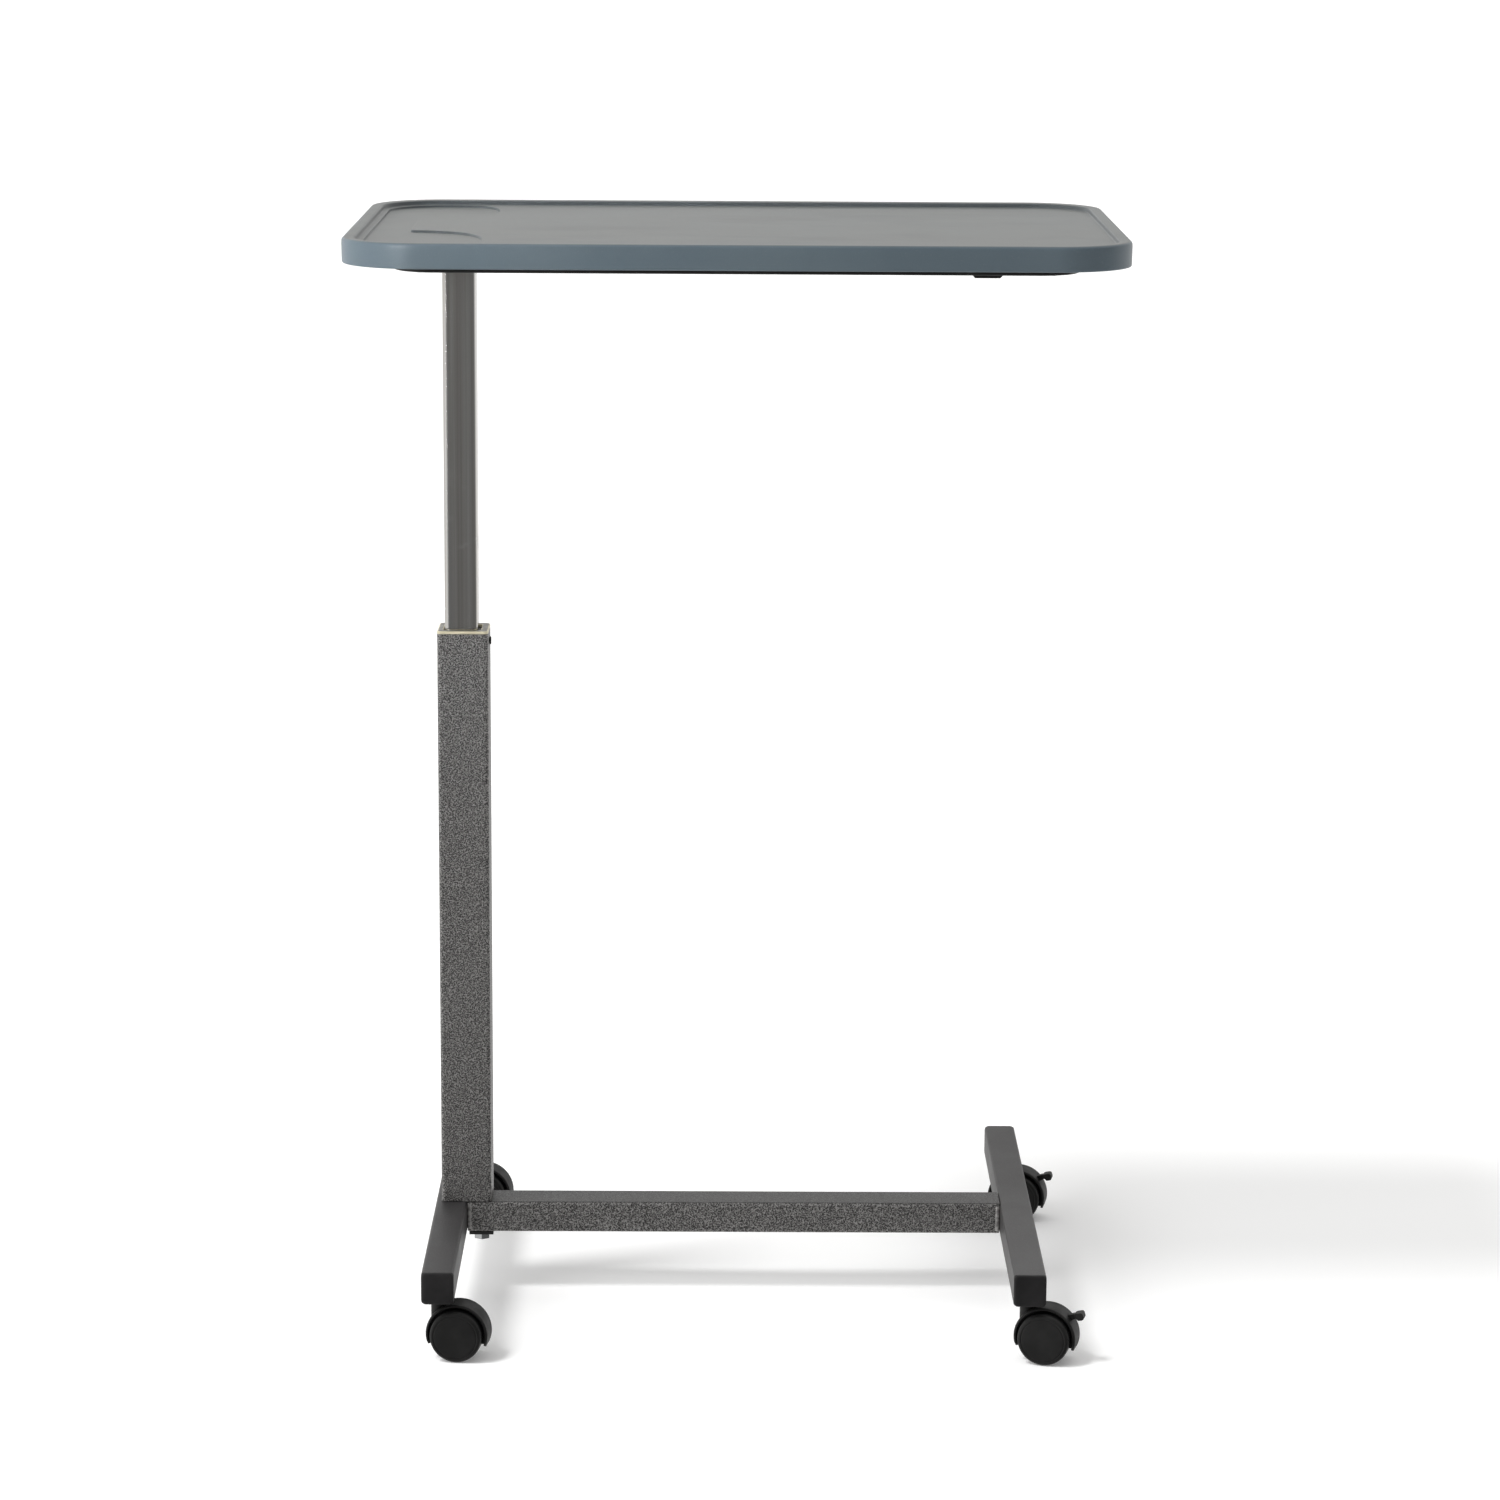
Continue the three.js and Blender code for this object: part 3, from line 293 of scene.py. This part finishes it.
LOOKS = {
    "tray_plastic": tray_look(),
    "black_plastic": moulded_look("black_plastic", grey(0.006), grey(0.012), 0.46, 0.60),
    "cap_plastic": moulded_look("cap_plastic", (0.009, 0.0085, 0.009, 1), (0.017, 0.016, 0.017, 1),
                                0.44, 0.58),
    "caster_nylon": moulded_look("caster_nylon", grey(0.006, 0.02), grey(0.012, 0.02), 0.50, 0.62),
    "hammertone": hammertone_look(),
    "satin_grey": satin_look(),
    "polished_steel": mast_look(),
    "gold_metal": collar_look(),
    "chrome": metal_look("chrome", grey(0.34, -0.02), grey(0.46, -0.02), 0.10, 0.18),
    "zinc": metal_look("zinc", grey(0.42), grey(0.58), 0.30, 0.44),
    "black_steel": moulded_look("black_steel", grey(0.012), grey(0.022), 0.34, 0.48, 600),
    "white_nylon": moulded_look("white_nylon", (0.66, 0.64, 0.58, 1), (0.76, 0.74, 0.69, 1), 0.40, 0.55),
}
WELD = weld_look()


SLOT_OF = {entry["node"]: entry["material_slot"] for entry in frame["record"]["subparts"]}


def dress_cad_nodes():
    for name, piece in frame["nodes"].items():
        piece.data.materials.clear()
        piece.data.materials.append(LOOKS[SLOT_OF[name]])


dress_cad_nodes()


# ---------------------------------------------------------------- shape helpers (millimetres)
def rounded(width, depth, radius, steps, centre):
    """Rounded rectangle as points, anticlockwise from the right side's lower end."""
    points = []
    for sx, sy, start in ((1, -1, -90), (1, 1, 0), (-1, 1, 90), (-1, -1, 180)):
        cx, cy = sx * (width / 2 - radius), sy * (depth / 2 - radius)
        for i in range(steps + 1):
            a = math.radians(start + 90 * i / steps)
            points.append((centre[0] + cx + radius * math.cos(a), centre[1] + cy + radius * math.sin(a)))
    return points


def circle(radius, steps):
    turns = [2 * math.pi * i / steps for i in range(steps)]
    return [(radius * math.cos(a), radius * math.sin(a)) for a in turns]


def at(points, z):
    return [(x, y, z) for x, y in points]


AXIS_RADIUS = 0.02  # a ring that closes on the axis keeps this radius


class Solid:
    """Collects closed shells and makes them one object."""

    def __init__(self):
        self.mesh = bmesh.new()

    def loft(self, rings, start=True, end=True, loop=False):
        rows = [[self.mesh.verts.new(Vector(p) * MM) for p in ring] for ring in rings]
        pairs = list(zip(rows, rows[1:])) + ([(rows[-1], rows[0])] if loop else [])
        for low, high in pairs:
            count = len(low)
            for i in range(count):
                j = (i + 1) % count
                self.mesh.faces.new((low[i], low[j], high[j], high[i]))
        if start and not loop:
            self.mesh.faces.new(list(reversed(rows[0])))
        if end and not loop:
            self.mesh.faces.new(rows[-1])
        return rows

    def between(self, outer, inner):
        """Fills the flat region between two closed rows of vertices."""
        edges = []
        for row in (outer, inner):
            for a, b in zip(row, row[1:] + row[:1]):
                edges.append(self.mesh.edges.get((a, b)) or self.mesh.edges.new((a, b)))
        bmesh.ops.triangle_fill(self.mesh, use_beauty=True, use_dissolve=False, edges=edges)

    def lathe(self, profile, steps, frame_matrix):
        """Turns [radius, height] about Z; the first and last points may lie on the axis."""
        rings = [at(circle(max(radius, AXIS_RADIUS), steps), z) for radius, z in profile]
        return self.place(rings, frame_matrix)

    def place(self, rings, frame_matrix):
        """Lofts rings given in a local frame."""
        return self.loft([[tuple(frame_matrix @ Vector(p)) for p in ring] for ring in rings])

    def prism(self, outline, half, frame_matrix, edge):
        """Outline in local x-z with a width along y, its long edges rounded by `edge`."""
        count = len(outline)
        centre = Vector((sum(p[0] for p in outline) / count, sum(p[1] for p in outline) / count))

        def ring(y, inset):
            made = []
            for x, z in outline:
                toward = centre - Vector((x, z))
                step = toward.normalized() * inset if toward.length > 0 else toward
                made.append((x + step.x, y, z + step.y))
            return made

        rings = [ring(-half, edge)]
        for k in range(1, 4):
            a = math.pi / 6 * k
            rings.append(ring(-half + edge * (1 - math.cos(a)), edge * (1 - math.sin(a))))
        rings += [[(x, -y, z) for x, y, z in r] for r in reversed(rings)]
        return self.place(rings, frame_matrix)

    def finish(self, name, body, look, stands_for=(), sharp=38):
        bmesh.ops.recalc_face_normals(self.mesh, faces=self.mesh.faces)
        data = bpy.data.meshes.new(name)
        self.mesh.to_mesh(data)
        self.mesh.free()
        for face in data.polygons:
            face.use_smooth = True
        data.set_sharp_from_angle(angle=math.radians(sharp))
        data.materials.append(look)
        piece = bpy.data.objects.new(name, data)
        bpy.context.scene.collection.objects.link(piece)
        shade = piece.modifiers.new("shading", "WEIGHTED_NORMAL")
        shade.keep_sharp = True
        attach(piece, body)
        if stands_for:
            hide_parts(*stands_for)
        return piece


def node_box(node):
    low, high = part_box(node)
    return low / MM, high / MM


# ---------------------------------------------------------------- tabletop
TOP_LOW, TOP_HIGH = node_box("tabletop_tray")
TOP_Z = TOP_HIGH.z
TOP_W, TOP_D = TOP_HIGH.x - TOP_LOW.x, TOP_HIGH.y - TOP_LOW.y
TOP_MID = ((TOP_HIGH.x + TOP_LOW.x) / 2, (TOP_HIGH.y + TOP_LOW.y) / 2)
TOP_CORNER = 75.0
SKIRT = 24.1
RIM = 13.0
FLOOR_DOWN = 5.0
UNDER_DOWN = 9.5
RECESS_DOWN = 2.5


def bezier(a, b, c, d, steps):
    points = []
    for i in range(steps):
        t = i / steps
        w = ((1 - t) ** 3, 3 * t * (1 - t) ** 2, 3 * t * t * (1 - t), t ** 3)
        points.append(tuple(sum(k * p[n] for k, p in zip(w, (a, b, c, d))) for n in (0, 1)))
    return points


def recess_outline():
    """Recess in the tray floor at the column's end, symmetrical about y = 0."""
    half = [(-356.0, 178.0 * i / 12) for i in range(12)]
    for i in range(16):
        a = math.radians(180 - 90 * i / 16)
        half.append((-298 + 58 * math.cos(a), 178 + 58 * math.sin(a)))
    half += [(-298.0, 236.0)]
    half += bezier((-282, 236), (-262, 236), (-246, 220), (-244, 190), 12)
    half += bezier((-244, 190), (-239, 150), (-244, 86), (-282, 66), 20)
    half += bezier((-282, 66), (-292, 60), (-304, 58), (-310, 57), 6)
    half += bezier((-310, 57), (-315.3, 56.3), (-318, 53.3), (-318, 48), 8)
    half += [(-318.0, 48.0 - 48.0 * i / 6) for i in range(6)]
    mirrored = [(x, -y) for x, y in reversed(half[1:])]
    return half + [(-318.0, 0.0)] + mirrored


def offset(points, distance):
    """Moves a closed outline sideways, to its left when distance is positive."""
    moved = []
    count = len(points)
    for i in range(count):
        before, here, after = points[i - 1], points[i], points[(i + 1) % count]
        tangent = Vector((after[0] - before[0], after[1] - before[1])).normalized()
        moved.append((here[0] - tangent.y * distance, here[1] + tangent.x * distance))
    return moved


def make_tray():
    solid = Solid()

    def ring(inset, down):
        width, depth = TOP_W - 2 * inset, TOP_D - 2 * inset
        return at(rounded(width, depth, TOP_CORNER - inset, 20, TOP_MID), TOP_Z - down)

    profile = [(3.5, UNDER_DOWN), (3.2, 14), (2.4, SKIRT - 0.9), (2.1, SKIRT - 0.2), (1.5, SKIRT),
               (0.9, SKIRT - 0.25), (0.45, SKIRT - 0.9), (0.3, SKIRT - 2), (0.0, 6.5), (0.1, 4.2)]
    for k in range(1, 7):
        a = math.radians(90 * k / 6)
        profile.append((0.1 + 3.4 * (1 - math.cos(a)), 3.4 * (1 - math.sin(a))))
    profile += [(6.5, 0.12), (RIM - 3.2, 0.28), (RIM - 1.5, 0.45), (RIM - 0.6, 0.95), (RIM - 0.1, 1.8),
                (RIM + 0.4, FLOOR_DOWN - 1.3), (RIM + 0.9, FLOOR_DOWN - 0.45), (RIM + 1.9, FLOOR_DOWN)]
    rows = solid.loft([ring(inset, down) for inset, down in profile], start=True, end=False)

    outline = recess_outline()
    steps = [(0.7, 0.0), (0.25, 0.10), (-0.05, 0.45), (-0.35, 1.8), (-0.8, 2.3), (-1.6, RECESS_DOWN)]
    rings = [at(offset(outline, distance), TOP_Z - FLOOR_DOWN - down) for distance, down in steps]
    recess = solid.loft(rings, start=False, end=False)
    solid.between(rows[-1], recess[0])
    bottom = recess[-1]
    edges = [solid.mesh.edges.get((a, b)) for a, b in zip(bottom, bottom[1:] + bottom[:1])]
    bmesh.ops.triangle_fill(solid.mesh, use_beauty=True, use_dissolve=False, edges=edges)
    solid.finish("tray_top", "mast", LOOKS["tray_plastic"], ["tabletop_tray"], sharp=50)


PAN_CORNER = 42.0


def make_pan():
    low, high = node_box("bottom_pan")
    width, depth = high.x - low.x, high.y - low.y
    solid = Solid()
    tall = high.z - low.z
    profile = [(0.0, 1.5), (0.0, tall - 2.4), (0.3, tall - 1.1), (0.9, tall - 0.35), (2.0, tall)]
    rings = [at(rounded(width - 2 * inset, depth - 2 * inset, PAN_CORNER - inset, 14, TOP_MID), high.z - down)
             for inset, down in profile]
    solid.loft(rings)
    solid.finish("pan_shell", "mast", LOOKS["black_plastic"], ["bottom_pan"], sharp=50)


# ---------------------------------------------------------------- tubes
COLUMN_CORNER = 3.6
MAST_CORNER = 5.0
LYING_CORNER = 3.2
SOCKET_SIDE = 51.0
UPRIGHT_EASE = 0.5  # small chamfer at a tube's two ends
LYING_EASE = 0.4


def upright_tube(solid, low, high, corner):
    """Closed block in a square tube's outline: it is not hollow."""
    ease = UPRIGHT_EASE
    width, depth = high.x - low.x, high.y - low.y
    centre = ((low.x + high.x) / 2, (low.y + high.y) / 2)
    rings = []
    for inset, z in ((ease, low.z), (0.0, low.z + ease), (0.0, high.z - ease), (ease, high.z)):
        rings.append(at(rounded(width - 2 * inset, depth - 2 * inset, corner - inset, 8, centre), z))
    solid.loft(rings)


def lying_tube(solid, low, high, corner, axis):
    """Closed block in a square tube's outline, along X (axis 0) or Y (axis 1), filling a box."""
    ease = LYING_EASE
    across = 1 - axis
    width, depth = high[across] - low[across], high.z - low.z
    centre = ((low[across] + high[across]) / 2, (low.z + high.z) / 2)
    rings = []
    start, end = low[axis], high[axis]
    for inset, along in ((ease, start), (0.0, start + ease), (0.0, end - ease), (ease, end)):
        ring = rounded(width - 2 * inset, depth - 2 * inset, corner - inset, 8, centre)
        rings.append([(along, a, b) if axis == 0 else (a, along, b) for a, b in ring])
    solid.loft(rings)


def make_column():
    low, high = node_box("outer_column")
    solid = Solid()
    upright_tube(solid, low, high, COLUMN_CORNER)
    solid.finish("column_tube", "base", LOOKS["hammertone"], ["outer_column"])

    low, high = node_box("mast_tube")
    solid = Solid()
    upright_tube(solid, low, high, MAST_CORNER)
    solid.finish("mast_square_tube", "mast", LOOKS["polished_steel"], ["mast_tube"])

    low, high = node_box("mast_head")
    mast_low, mast_high = node_box("mast_tube")
    middle = (mast_low.x + mast_high.x) / 2
    solid = Solid()
    socket = []
    for inset, z in ((0.8, low.z), (0.0, low.z + 1.0), (0.0, high.z - 5.3)):
        side = SOCKET_SIDE - 2 * inset
        socket.append(at(rounded(side, side, 4 - inset * 0.5, 6, (middle, 0)), z))
    solid.loft(socket)
    width, depth = high.x - low.x, high.y - low.y
    plate_centre = ((low.x + high.x) / 2, 0)
    plate = []
    for inset, z in ((0.6, high.z - 5.0), (0.0, high.z - 4.4), (0.0, high.z - 0.6), (0.6, high.z)):
        plate.append(at(rounded(width - 2 * inset, depth - 2 * inset, 5, 4, plate_centre), z))
    solid.loft(plate)
    solid.finish("mast_socket", "mast", LOOKS["black_steel"], ["mast_head"])


def make_collar():
    low, high = node_box("collar")
    mast_low, mast_high = node_box("mast_tube")
    centre = ((low.x + high.x) / 2, 0.0)
    left, right = mast_low.x - 1.2, mast_high.x + 3.2
    half = mast_high.y + 1.2

    def outer(inset):
        width, depth = high.x - low.x, high.y - low.y
        return rounded(width - 2 * inset, depth - 2 * inset, 4.4 - inset, 8, centre)

    def mouth(grow):
        middle = ((left + right) / 2, 0)
        return rounded(right - left + 2 * grow, 2 * (half + grow), 4.0 + grow, 8, middle)

    rings = [at(mouth(0), low.z), at(outer(0.4), low.z), at(outer(0), low.z + 0.4),
             at(outer(0.03), low.z + 1.3), at(outer(0.2), high.z - 0.8), at(outer(0.55), high.z - 0.35),
             at(outer(1.1), high.z - 0.08), at(outer(1.6), high.z), at(mouth(0.9), high.z),
             at(mouth(0.25), high.z - 0.3), at(mouth(0), high.z - 0.9)]
    solid = Solid()
    solid.loft(rings, loop=True)
    solid.finish("collar_ring", "base", LOOKS["gold_metal"], ["collar"], sharp=60)


WELD_PROUD = 0.9  # the CAD's welds make the bar's box this much wider than its faces
WELD_RIPPLES = 26


def make_base():
    for side in ("left", "right"):
        low, high = node_box(f"{side}_foot")
        solid = Solid()
        lying_tube(solid, low, high, LYING_CORNER, 1)
        solid.finish(f"{side}_foot_tube", "base", LOOKS["satin_grey"], [f"{side}_foot"])
    low, high = node_box("cross_bar")
    front, back = low.y + WELD_PROUD, high.y - WELD_PROUD
    solid = Solid()
    lying_tube(solid, Vector((low.x, front, low.z)), Vector((high.x, back, high.z)), LYING_CORNER, 0)
    solid.finish("bar_tube", "base", LOOKS["hammertone"], ["cross_bar"])
    make_weld("bar_weld_left", low.x, (front, back), low.z, high.z, 1)
    make_weld("bar_weld_right", high.x, (front, back), low.z, high.z, -1)


def make_weld(name, x, faces, low, high, toward):
    """Painted fillet down both sides of the bar's end, with its overlapping ripples."""
    solid = Solid()
    count = WELD_RIPPLES * 3
    bottom, top = low + 2.6, high - 2.6
    for side, face in zip((-1, 1), faces):
        rings = []
        for i in range(count + 1):
            z = bottom + (top - bottom) * i / count
            swell = 0.12 * abs(math.sin(math.pi * i / 3)) + 0.08 * math.sin(i * 0.9)
            ends = min(1.0, min(i, count - i) / 3 + 0.25)
            wide, proud = (4.2 + swell * 2) * ends, min(0.78, (0.62 + swell)) * ends
            ring = []
            for k in range(7):
                a = math.pi * k / 6
                along = x + toward * (wide / 2 - wide / 2 * math.cos(a))
                ring.append((along, face + side * (proud * math.sin(a) + 0.4 * (math.sin(a) - 1)), z))
            rings.append(ring)
        solid.loft(rings)
    solid.finish(name, "base", WELD, sharp=60)


def make_caps():
    for caster in ("front_left", "front_right", "rear_left", "rear_right"):
        low, high = node_box(f"foot_cap_{caster}")
        foot_low, foot_high = node_box("left_foot" if caster.endswith("left") else "right_foot")
        end = -1 if caster.startswith("front") else 1
        face, seam = (low.y, foot_low.y - 0.1) if end < 0 else (high.y, foot_high.y + 0.1)
        centre = ((foot_low.x + foot_high.x) / 2, (foot_low.z + foot_high.z) / 2)
        width, depth = foot_high.x - foot_low.x, foot_high.z - foot_low.z
        solid = Solid()
        rings = []
        reach = abs(face - seam)
        crown = ((0.7, 0.0), (0.25, 0.15), (0.05, 0.6), (0.0, 1.4), (0.2, 2.2), (0.75, 2.85),
                 (1.6, 3.25), (3.0, 3.45), (6.0, reach))
        for inset, away in crown:
            ring = rounded(width - 2 * inset, depth - 2 * inset, max(4.6 - inset * 0.5, 1.2), 8, centre)
            y = seam + end * min(away, reach)
            rings.append([(x, y, z) for x, z in ring])
        solid.loft(rings)
        solid.finish(f"cap_{caster}", "base", LOOKS["cap_plastic"], [f"foot_cap_{caster}"], sharp=60)


# ---------------------------------------------------------------- casters
WHEEL_R = 25.8
TRAIL = 19.4
CASTERS = {"front_left": -8.0, "front_right": -16.0, "rear_left": -6.0, "rear_right": -12.0}
BRAKED = ("front_right", "rear_right")


def caster_frame(name):
    """Local axes: x the trail, y the axle, z up, origin on the floor under the stem."""
    low, high = node_box(f"caster_stem_{name}")
    place = Vector(((low.x + high.x) / 2, (low.y + high.y) / 2, 0))
    return Matrix.Translation(place) @ Matrix.Rotation(math.radians(CASTERS[name]), 4, "Z")


def make_wheel(name, side, where):
    solid = Solid()
    profile = [(0, 5.4), (23.2, 5.4), (25.0, 5.7), (25.7, 6.6), (WHEEL_R, 8.0), (WHEEL_R, 16.6),
               (25.66, 18.0), (25.2, 19.2), (24.4, 20.2), (23.4, 20.75), (22.6, 20.9), (22.1, 20.8),
               (21.7, 20.45), (21.3, 20.45), (20.9, 20.8), (20.2, 20.95), (12, 21.0), (0, 21.0)]
    spin = Matrix.Rotation(-math.pi / 2 if side == "far" else math.pi / 2, 4, "X")
    matrix = where @ Matrix.Translation((TRAIL, 0, WHEEL_R)) @ spin
    solid.lathe(profile, 64, matrix)
    solid.finish(f"disc_{side}_{name}", f"wheel_{side}_{name}", LOOKS["caster_nylon"],
                 [f"wheel_{side}_{name}"], sharp=70)


HOOD_INNER = 28.3
HOOD_OUTER = 31.0
HOOD_HALF = 13.0
HOOD_TIP = math.radians(20.5)  # how far past level the band runs at each end
HOOD_STEPS = 56
WEB_HALF = 5.0
NECK_R = 8.0


def make_hood(name, where):
    inner, outer, half, tip, steps = HOOD_INNER, HOOD_OUTER, HOOD_HALF, HOOD_TIP, HOOD_STEPS
    solid = Solid()
    centre = where @ Matrix.Translation((TRAIL, 0, WHEEL_R))
    section = [(inner, -half + 0.4), (inner + 0.6, -half), (outer - 1.6, -half), (outer - 0.5, -half + 0.6),
               (outer, -half + 2.0), (outer, half - 2.0), (outer - 0.5, half - 0.6), (outer - 1.6, half),
               (inner + 0.6, half), (inner, half - 0.4)]
    rings = []
    for i in range(steps + 1):
        a = -tip + (math.pi + 2 * tip) * i / steps
        near = min(i, steps - i)
        narrow = 1.0 - 0.10 * max(0, 2 - near)
        rings.append([(r * math.cos(a), y * narrow, r * math.sin(a)) for r, y in section])
    solid.place(rings, centre)

    web = []
    for i in range(steps + 1):
        a = -tip + (math.pi + 2 * tip) * i / steps
        web.append(((inner + 0.9) * math.cos(a), (inner + 0.9) * math.sin(a)))
    solid.prism(web, WEB_HALF, centre, edge=0.4)

    top = node_box(f"caster_hood_{name}")[1].z
    neck = []
    for shrink, z in ((0.0, None), (0.0, top - 0.9), (0.25, top - 0.3), (0.8, top)):
        ring = []
        for x, y in circle(NECK_R - shrink, 40):
            reach = math.sqrt(max(inner ** 2 - (x - TRAIL) ** 2, 0.0))
            ring.append((x, y, WHEEL_R + reach if z is None else z))
        neck.append(ring)
    solid.place(neck, where)
    solid.finish(f"hood_{name}", f"caster_{name}", LOOKS["caster_nylon"], [f"caster_hood_{name}"],
                 sharp=50)


CORNER_KEEP = 0.62  # the straight share of each side


def rounded_path(points, steps):
    """Closed outline with each corner turned into a short curve."""
    made = []
    count = len(points)
    for i in range(count):
        before, here, after = (Vector(points[j % count]) for j in (i - 1, i, i + 1))
        start = here.lerp(before, (1 - CORNER_KEEP) * 0.9)
        end = here.lerp(after, (1 - CORNER_KEEP) * 0.9)
        for k in range(steps + 1):
            t = k / steps
            made.append(tuple(start * (1 - t) ** 2 + here * 2 * t * (1 - t) + end * t * t))
    return made


BRAKE_OFFSET = Vector((19.5, 0, 17.5))  # from the axle
BRAKE_PIVOT = Vector((TRAIL, 0, WHEEL_R)) + BRAKE_OFFSET
BRAKE_RAISED = 14.0


def make_brake(name, where):
    raised = Matrix.Rotation(-math.radians(BRAKE_RAISED), 4, "Y")
    centre = where @ Matrix.Translation(BRAKE_PIVOT) @ raised @ Matrix.Translation(-BRAKE_OFFSET)
    solid = Solid()
    stalk = [(16.8, 15.8), (22, 14.9), (27, 17.2), (32, 18.0), (33.5, 20.0), (31, 22.4),
             (27, 22.6), (20, 22.0), (16.8, 20)]
    paddle = [(28.8, 19.6), (31.0, 17.4), (32.0, 15.6), (36.8, 15.4), (38.3, 17.4), (38.0, 22.2),
              (36.2, 23.3), (29.6, 23.2)]
    solid.prism(rounded_path(stalk, 3), 3.1, centre, edge=0.6)
    solid.prism(rounded_path(paddle, 4), 5.9, centre, edge=1.1)
    solid.finish(f"brake_tab_{name}", f"brake_{name}", LOOKS["caster_nylon"], [f"brake_lever_{name}"],
                 sharp=60)


def make_stem(name):
    low, high = node_box(f"caster_stem_{name}")
    radius = (high.x - low.x) / 2
    middle = Matrix.Translation(((low.x + high.x) / 2, (low.y + high.y) / 2, 0))
    flange_low = node_box(f"caster_hood_{name}")[1].z + 0.3
    solid = Solid()
    profile = [(4.0, low.z), (4.0, flange_low), (radius - 0.5, flange_low), (radius - 0.05, flange_low + 0.4),
               (radius - 0.05, flange_low + 1.2), (radius - 0.5, flange_low + 1.65),
               (5.3, flange_low + 1.7), (5.3, high.z - 1), (4.4, high.z)]
    solid.lathe(profile, 32, middle)
    solid.finish(f"stem_{name}", "base", LOOKS["zinc"], [f"caster_stem_{name}"], sharp=50)


def make_casters():
    for name in CASTERS:
        where = caster_frame(name)
        make_hood(name, where)
        make_stem(name)
        for side in ("near", "far"):
            make_wheel(name, side, where)
        if name in BRAKED:
            make_brake(name, where)


# ---------------------------------------------------------------- small parts kept from the CAD
def soften(node, width):
    edge = frame["nodes"][node].modifiers.new("edges", "BEVEL")
    edge.width = width * MM
    edge.segments = 3
    edge.limit_method = "ANGLE"
    edge.angle_limit = math.radians(35)


make_tray()
make_pan()
make_column()
make_collar()
make_base()
make_caps()
make_casters()
for small, width in (("bar_bolt", 0.9), ("foot_bolt", 0.6), ("clamp_plate", 0.4), ("collar_screw", 0.5),
                     ("lever_handle", 0.8), ("rod_nut", 0.4), ("support_frame", 0.4)):
    soften(small, width)


# ---------------------------------------------------------------- floor and light
def make_floor():
    look = Look("studio_floor", Specular_IOR_Level=0.0)
    look.colour(look.mix(look.ramp(look.noise(0.6, 2), 0.3, 0.7), grey(0.915), grey(0.925)))
    look.roughness(look.ramp(look.noise(3, 2), 0.3, 0.7, 0.85, 0.95))
    look.bsdf.inputs["Emission Color"].default_value = (1, 1, 1, 1)
    look.bsdf.inputs["Emission Strength"].default_value = 0.14
    data = bpy.data.meshes.new("studio_floor")
    ring = circle(80.0, 96)
    data.from_pydata([(x, y, 0.0) for x, y in ring], [], [tuple(range(len(ring)))])
    data.materials.append(look.material)
    floor = bpy.data.objects.new("studio_floor", data)
    bpy.context.scene.collection.objects.link(floor)
    floor.visible_glossy = False


def make_world():
    """White studio, bright behind and to the left, dimmer to the front and right."""
    world = bpy.data.worlds.new("studio")
    world.use_nodes = True
    tree = world.node_tree
    background = tree.nodes["Background"]
    coordinate = tree.nodes.new("ShaderNodeTexCoord")
    toward = tree.nodes.new("ShaderNodeVectorMath")
    toward.operation = "DOT_PRODUCT"
    toward.inputs[1].default_value = (-0.50, 0.86, 0.10)
    side = tree.nodes.new("ShaderNodeMapRange")
    side.interpolation_type = "SMOOTHSTEP"
    tree.links.new(coordinate.outputs["Generated"], toward.inputs[0])
    tree.links.new(toward.outputs["Value"], side.inputs["Value"])
    limits = {"From Min": -0.80, "From Max": 0.0, "To Min": 0.17, "To Max": 0.90}
    for socket, number in limits.items():
        side.inputs[socket].default_value = number
    tree.links.new(side.outputs["Result"], background.inputs["Strength"])
    background.inputs["Color"].default_value = (1.0, 0.995, 0.985, 1)
    bpy.context.scene.world = world


COOL_WHITE = (0.98, 0.99, 1.0)


def make_light(name, kind, location, target, energy, size, colour=(1, 1, 1), spread=math.pi):
    data = bpy.data.lights.new(name, kind)
    data.energy = energy
    data.color = colour
    if kind == "SUN":
        data.angle = size
    else:
        data.shape = "RECTANGLE"
        data.size, data.size_y = size
        data.spread = spread
    lamp = bpy.data.objects.new(name, data)
    aim = (Vector(target) - Vector(location)).to_track_quat("-Z", "Y")
    lamp.matrix_world = Matrix.Translation(location) @ aim.to_matrix().to_4x4()
    lamp.visible_camera = False
    lamp.visible_glossy = spread < math.pi
    bpy.context.scene.collection.objects.link(lamp)


make_floor()
make_world()
make_light("overhead", "SUN", (-2.2, -0.9, 4.0), (0, 0, 0), 1.55, math.radians(14))
make_light("softbox_left", "AREA", (-2.6, -1.5, 2.2), (0, 0, 0.7), 34, (1.6, 1.6), COOL_WHITE)
make_light("strip_left", "AREA", (-1.9, -3.0, 1.7), (-0.36, -0.25, 1.16), 0.75, (0.35, 0.8), COOL_WHITE,
           math.radians(14))
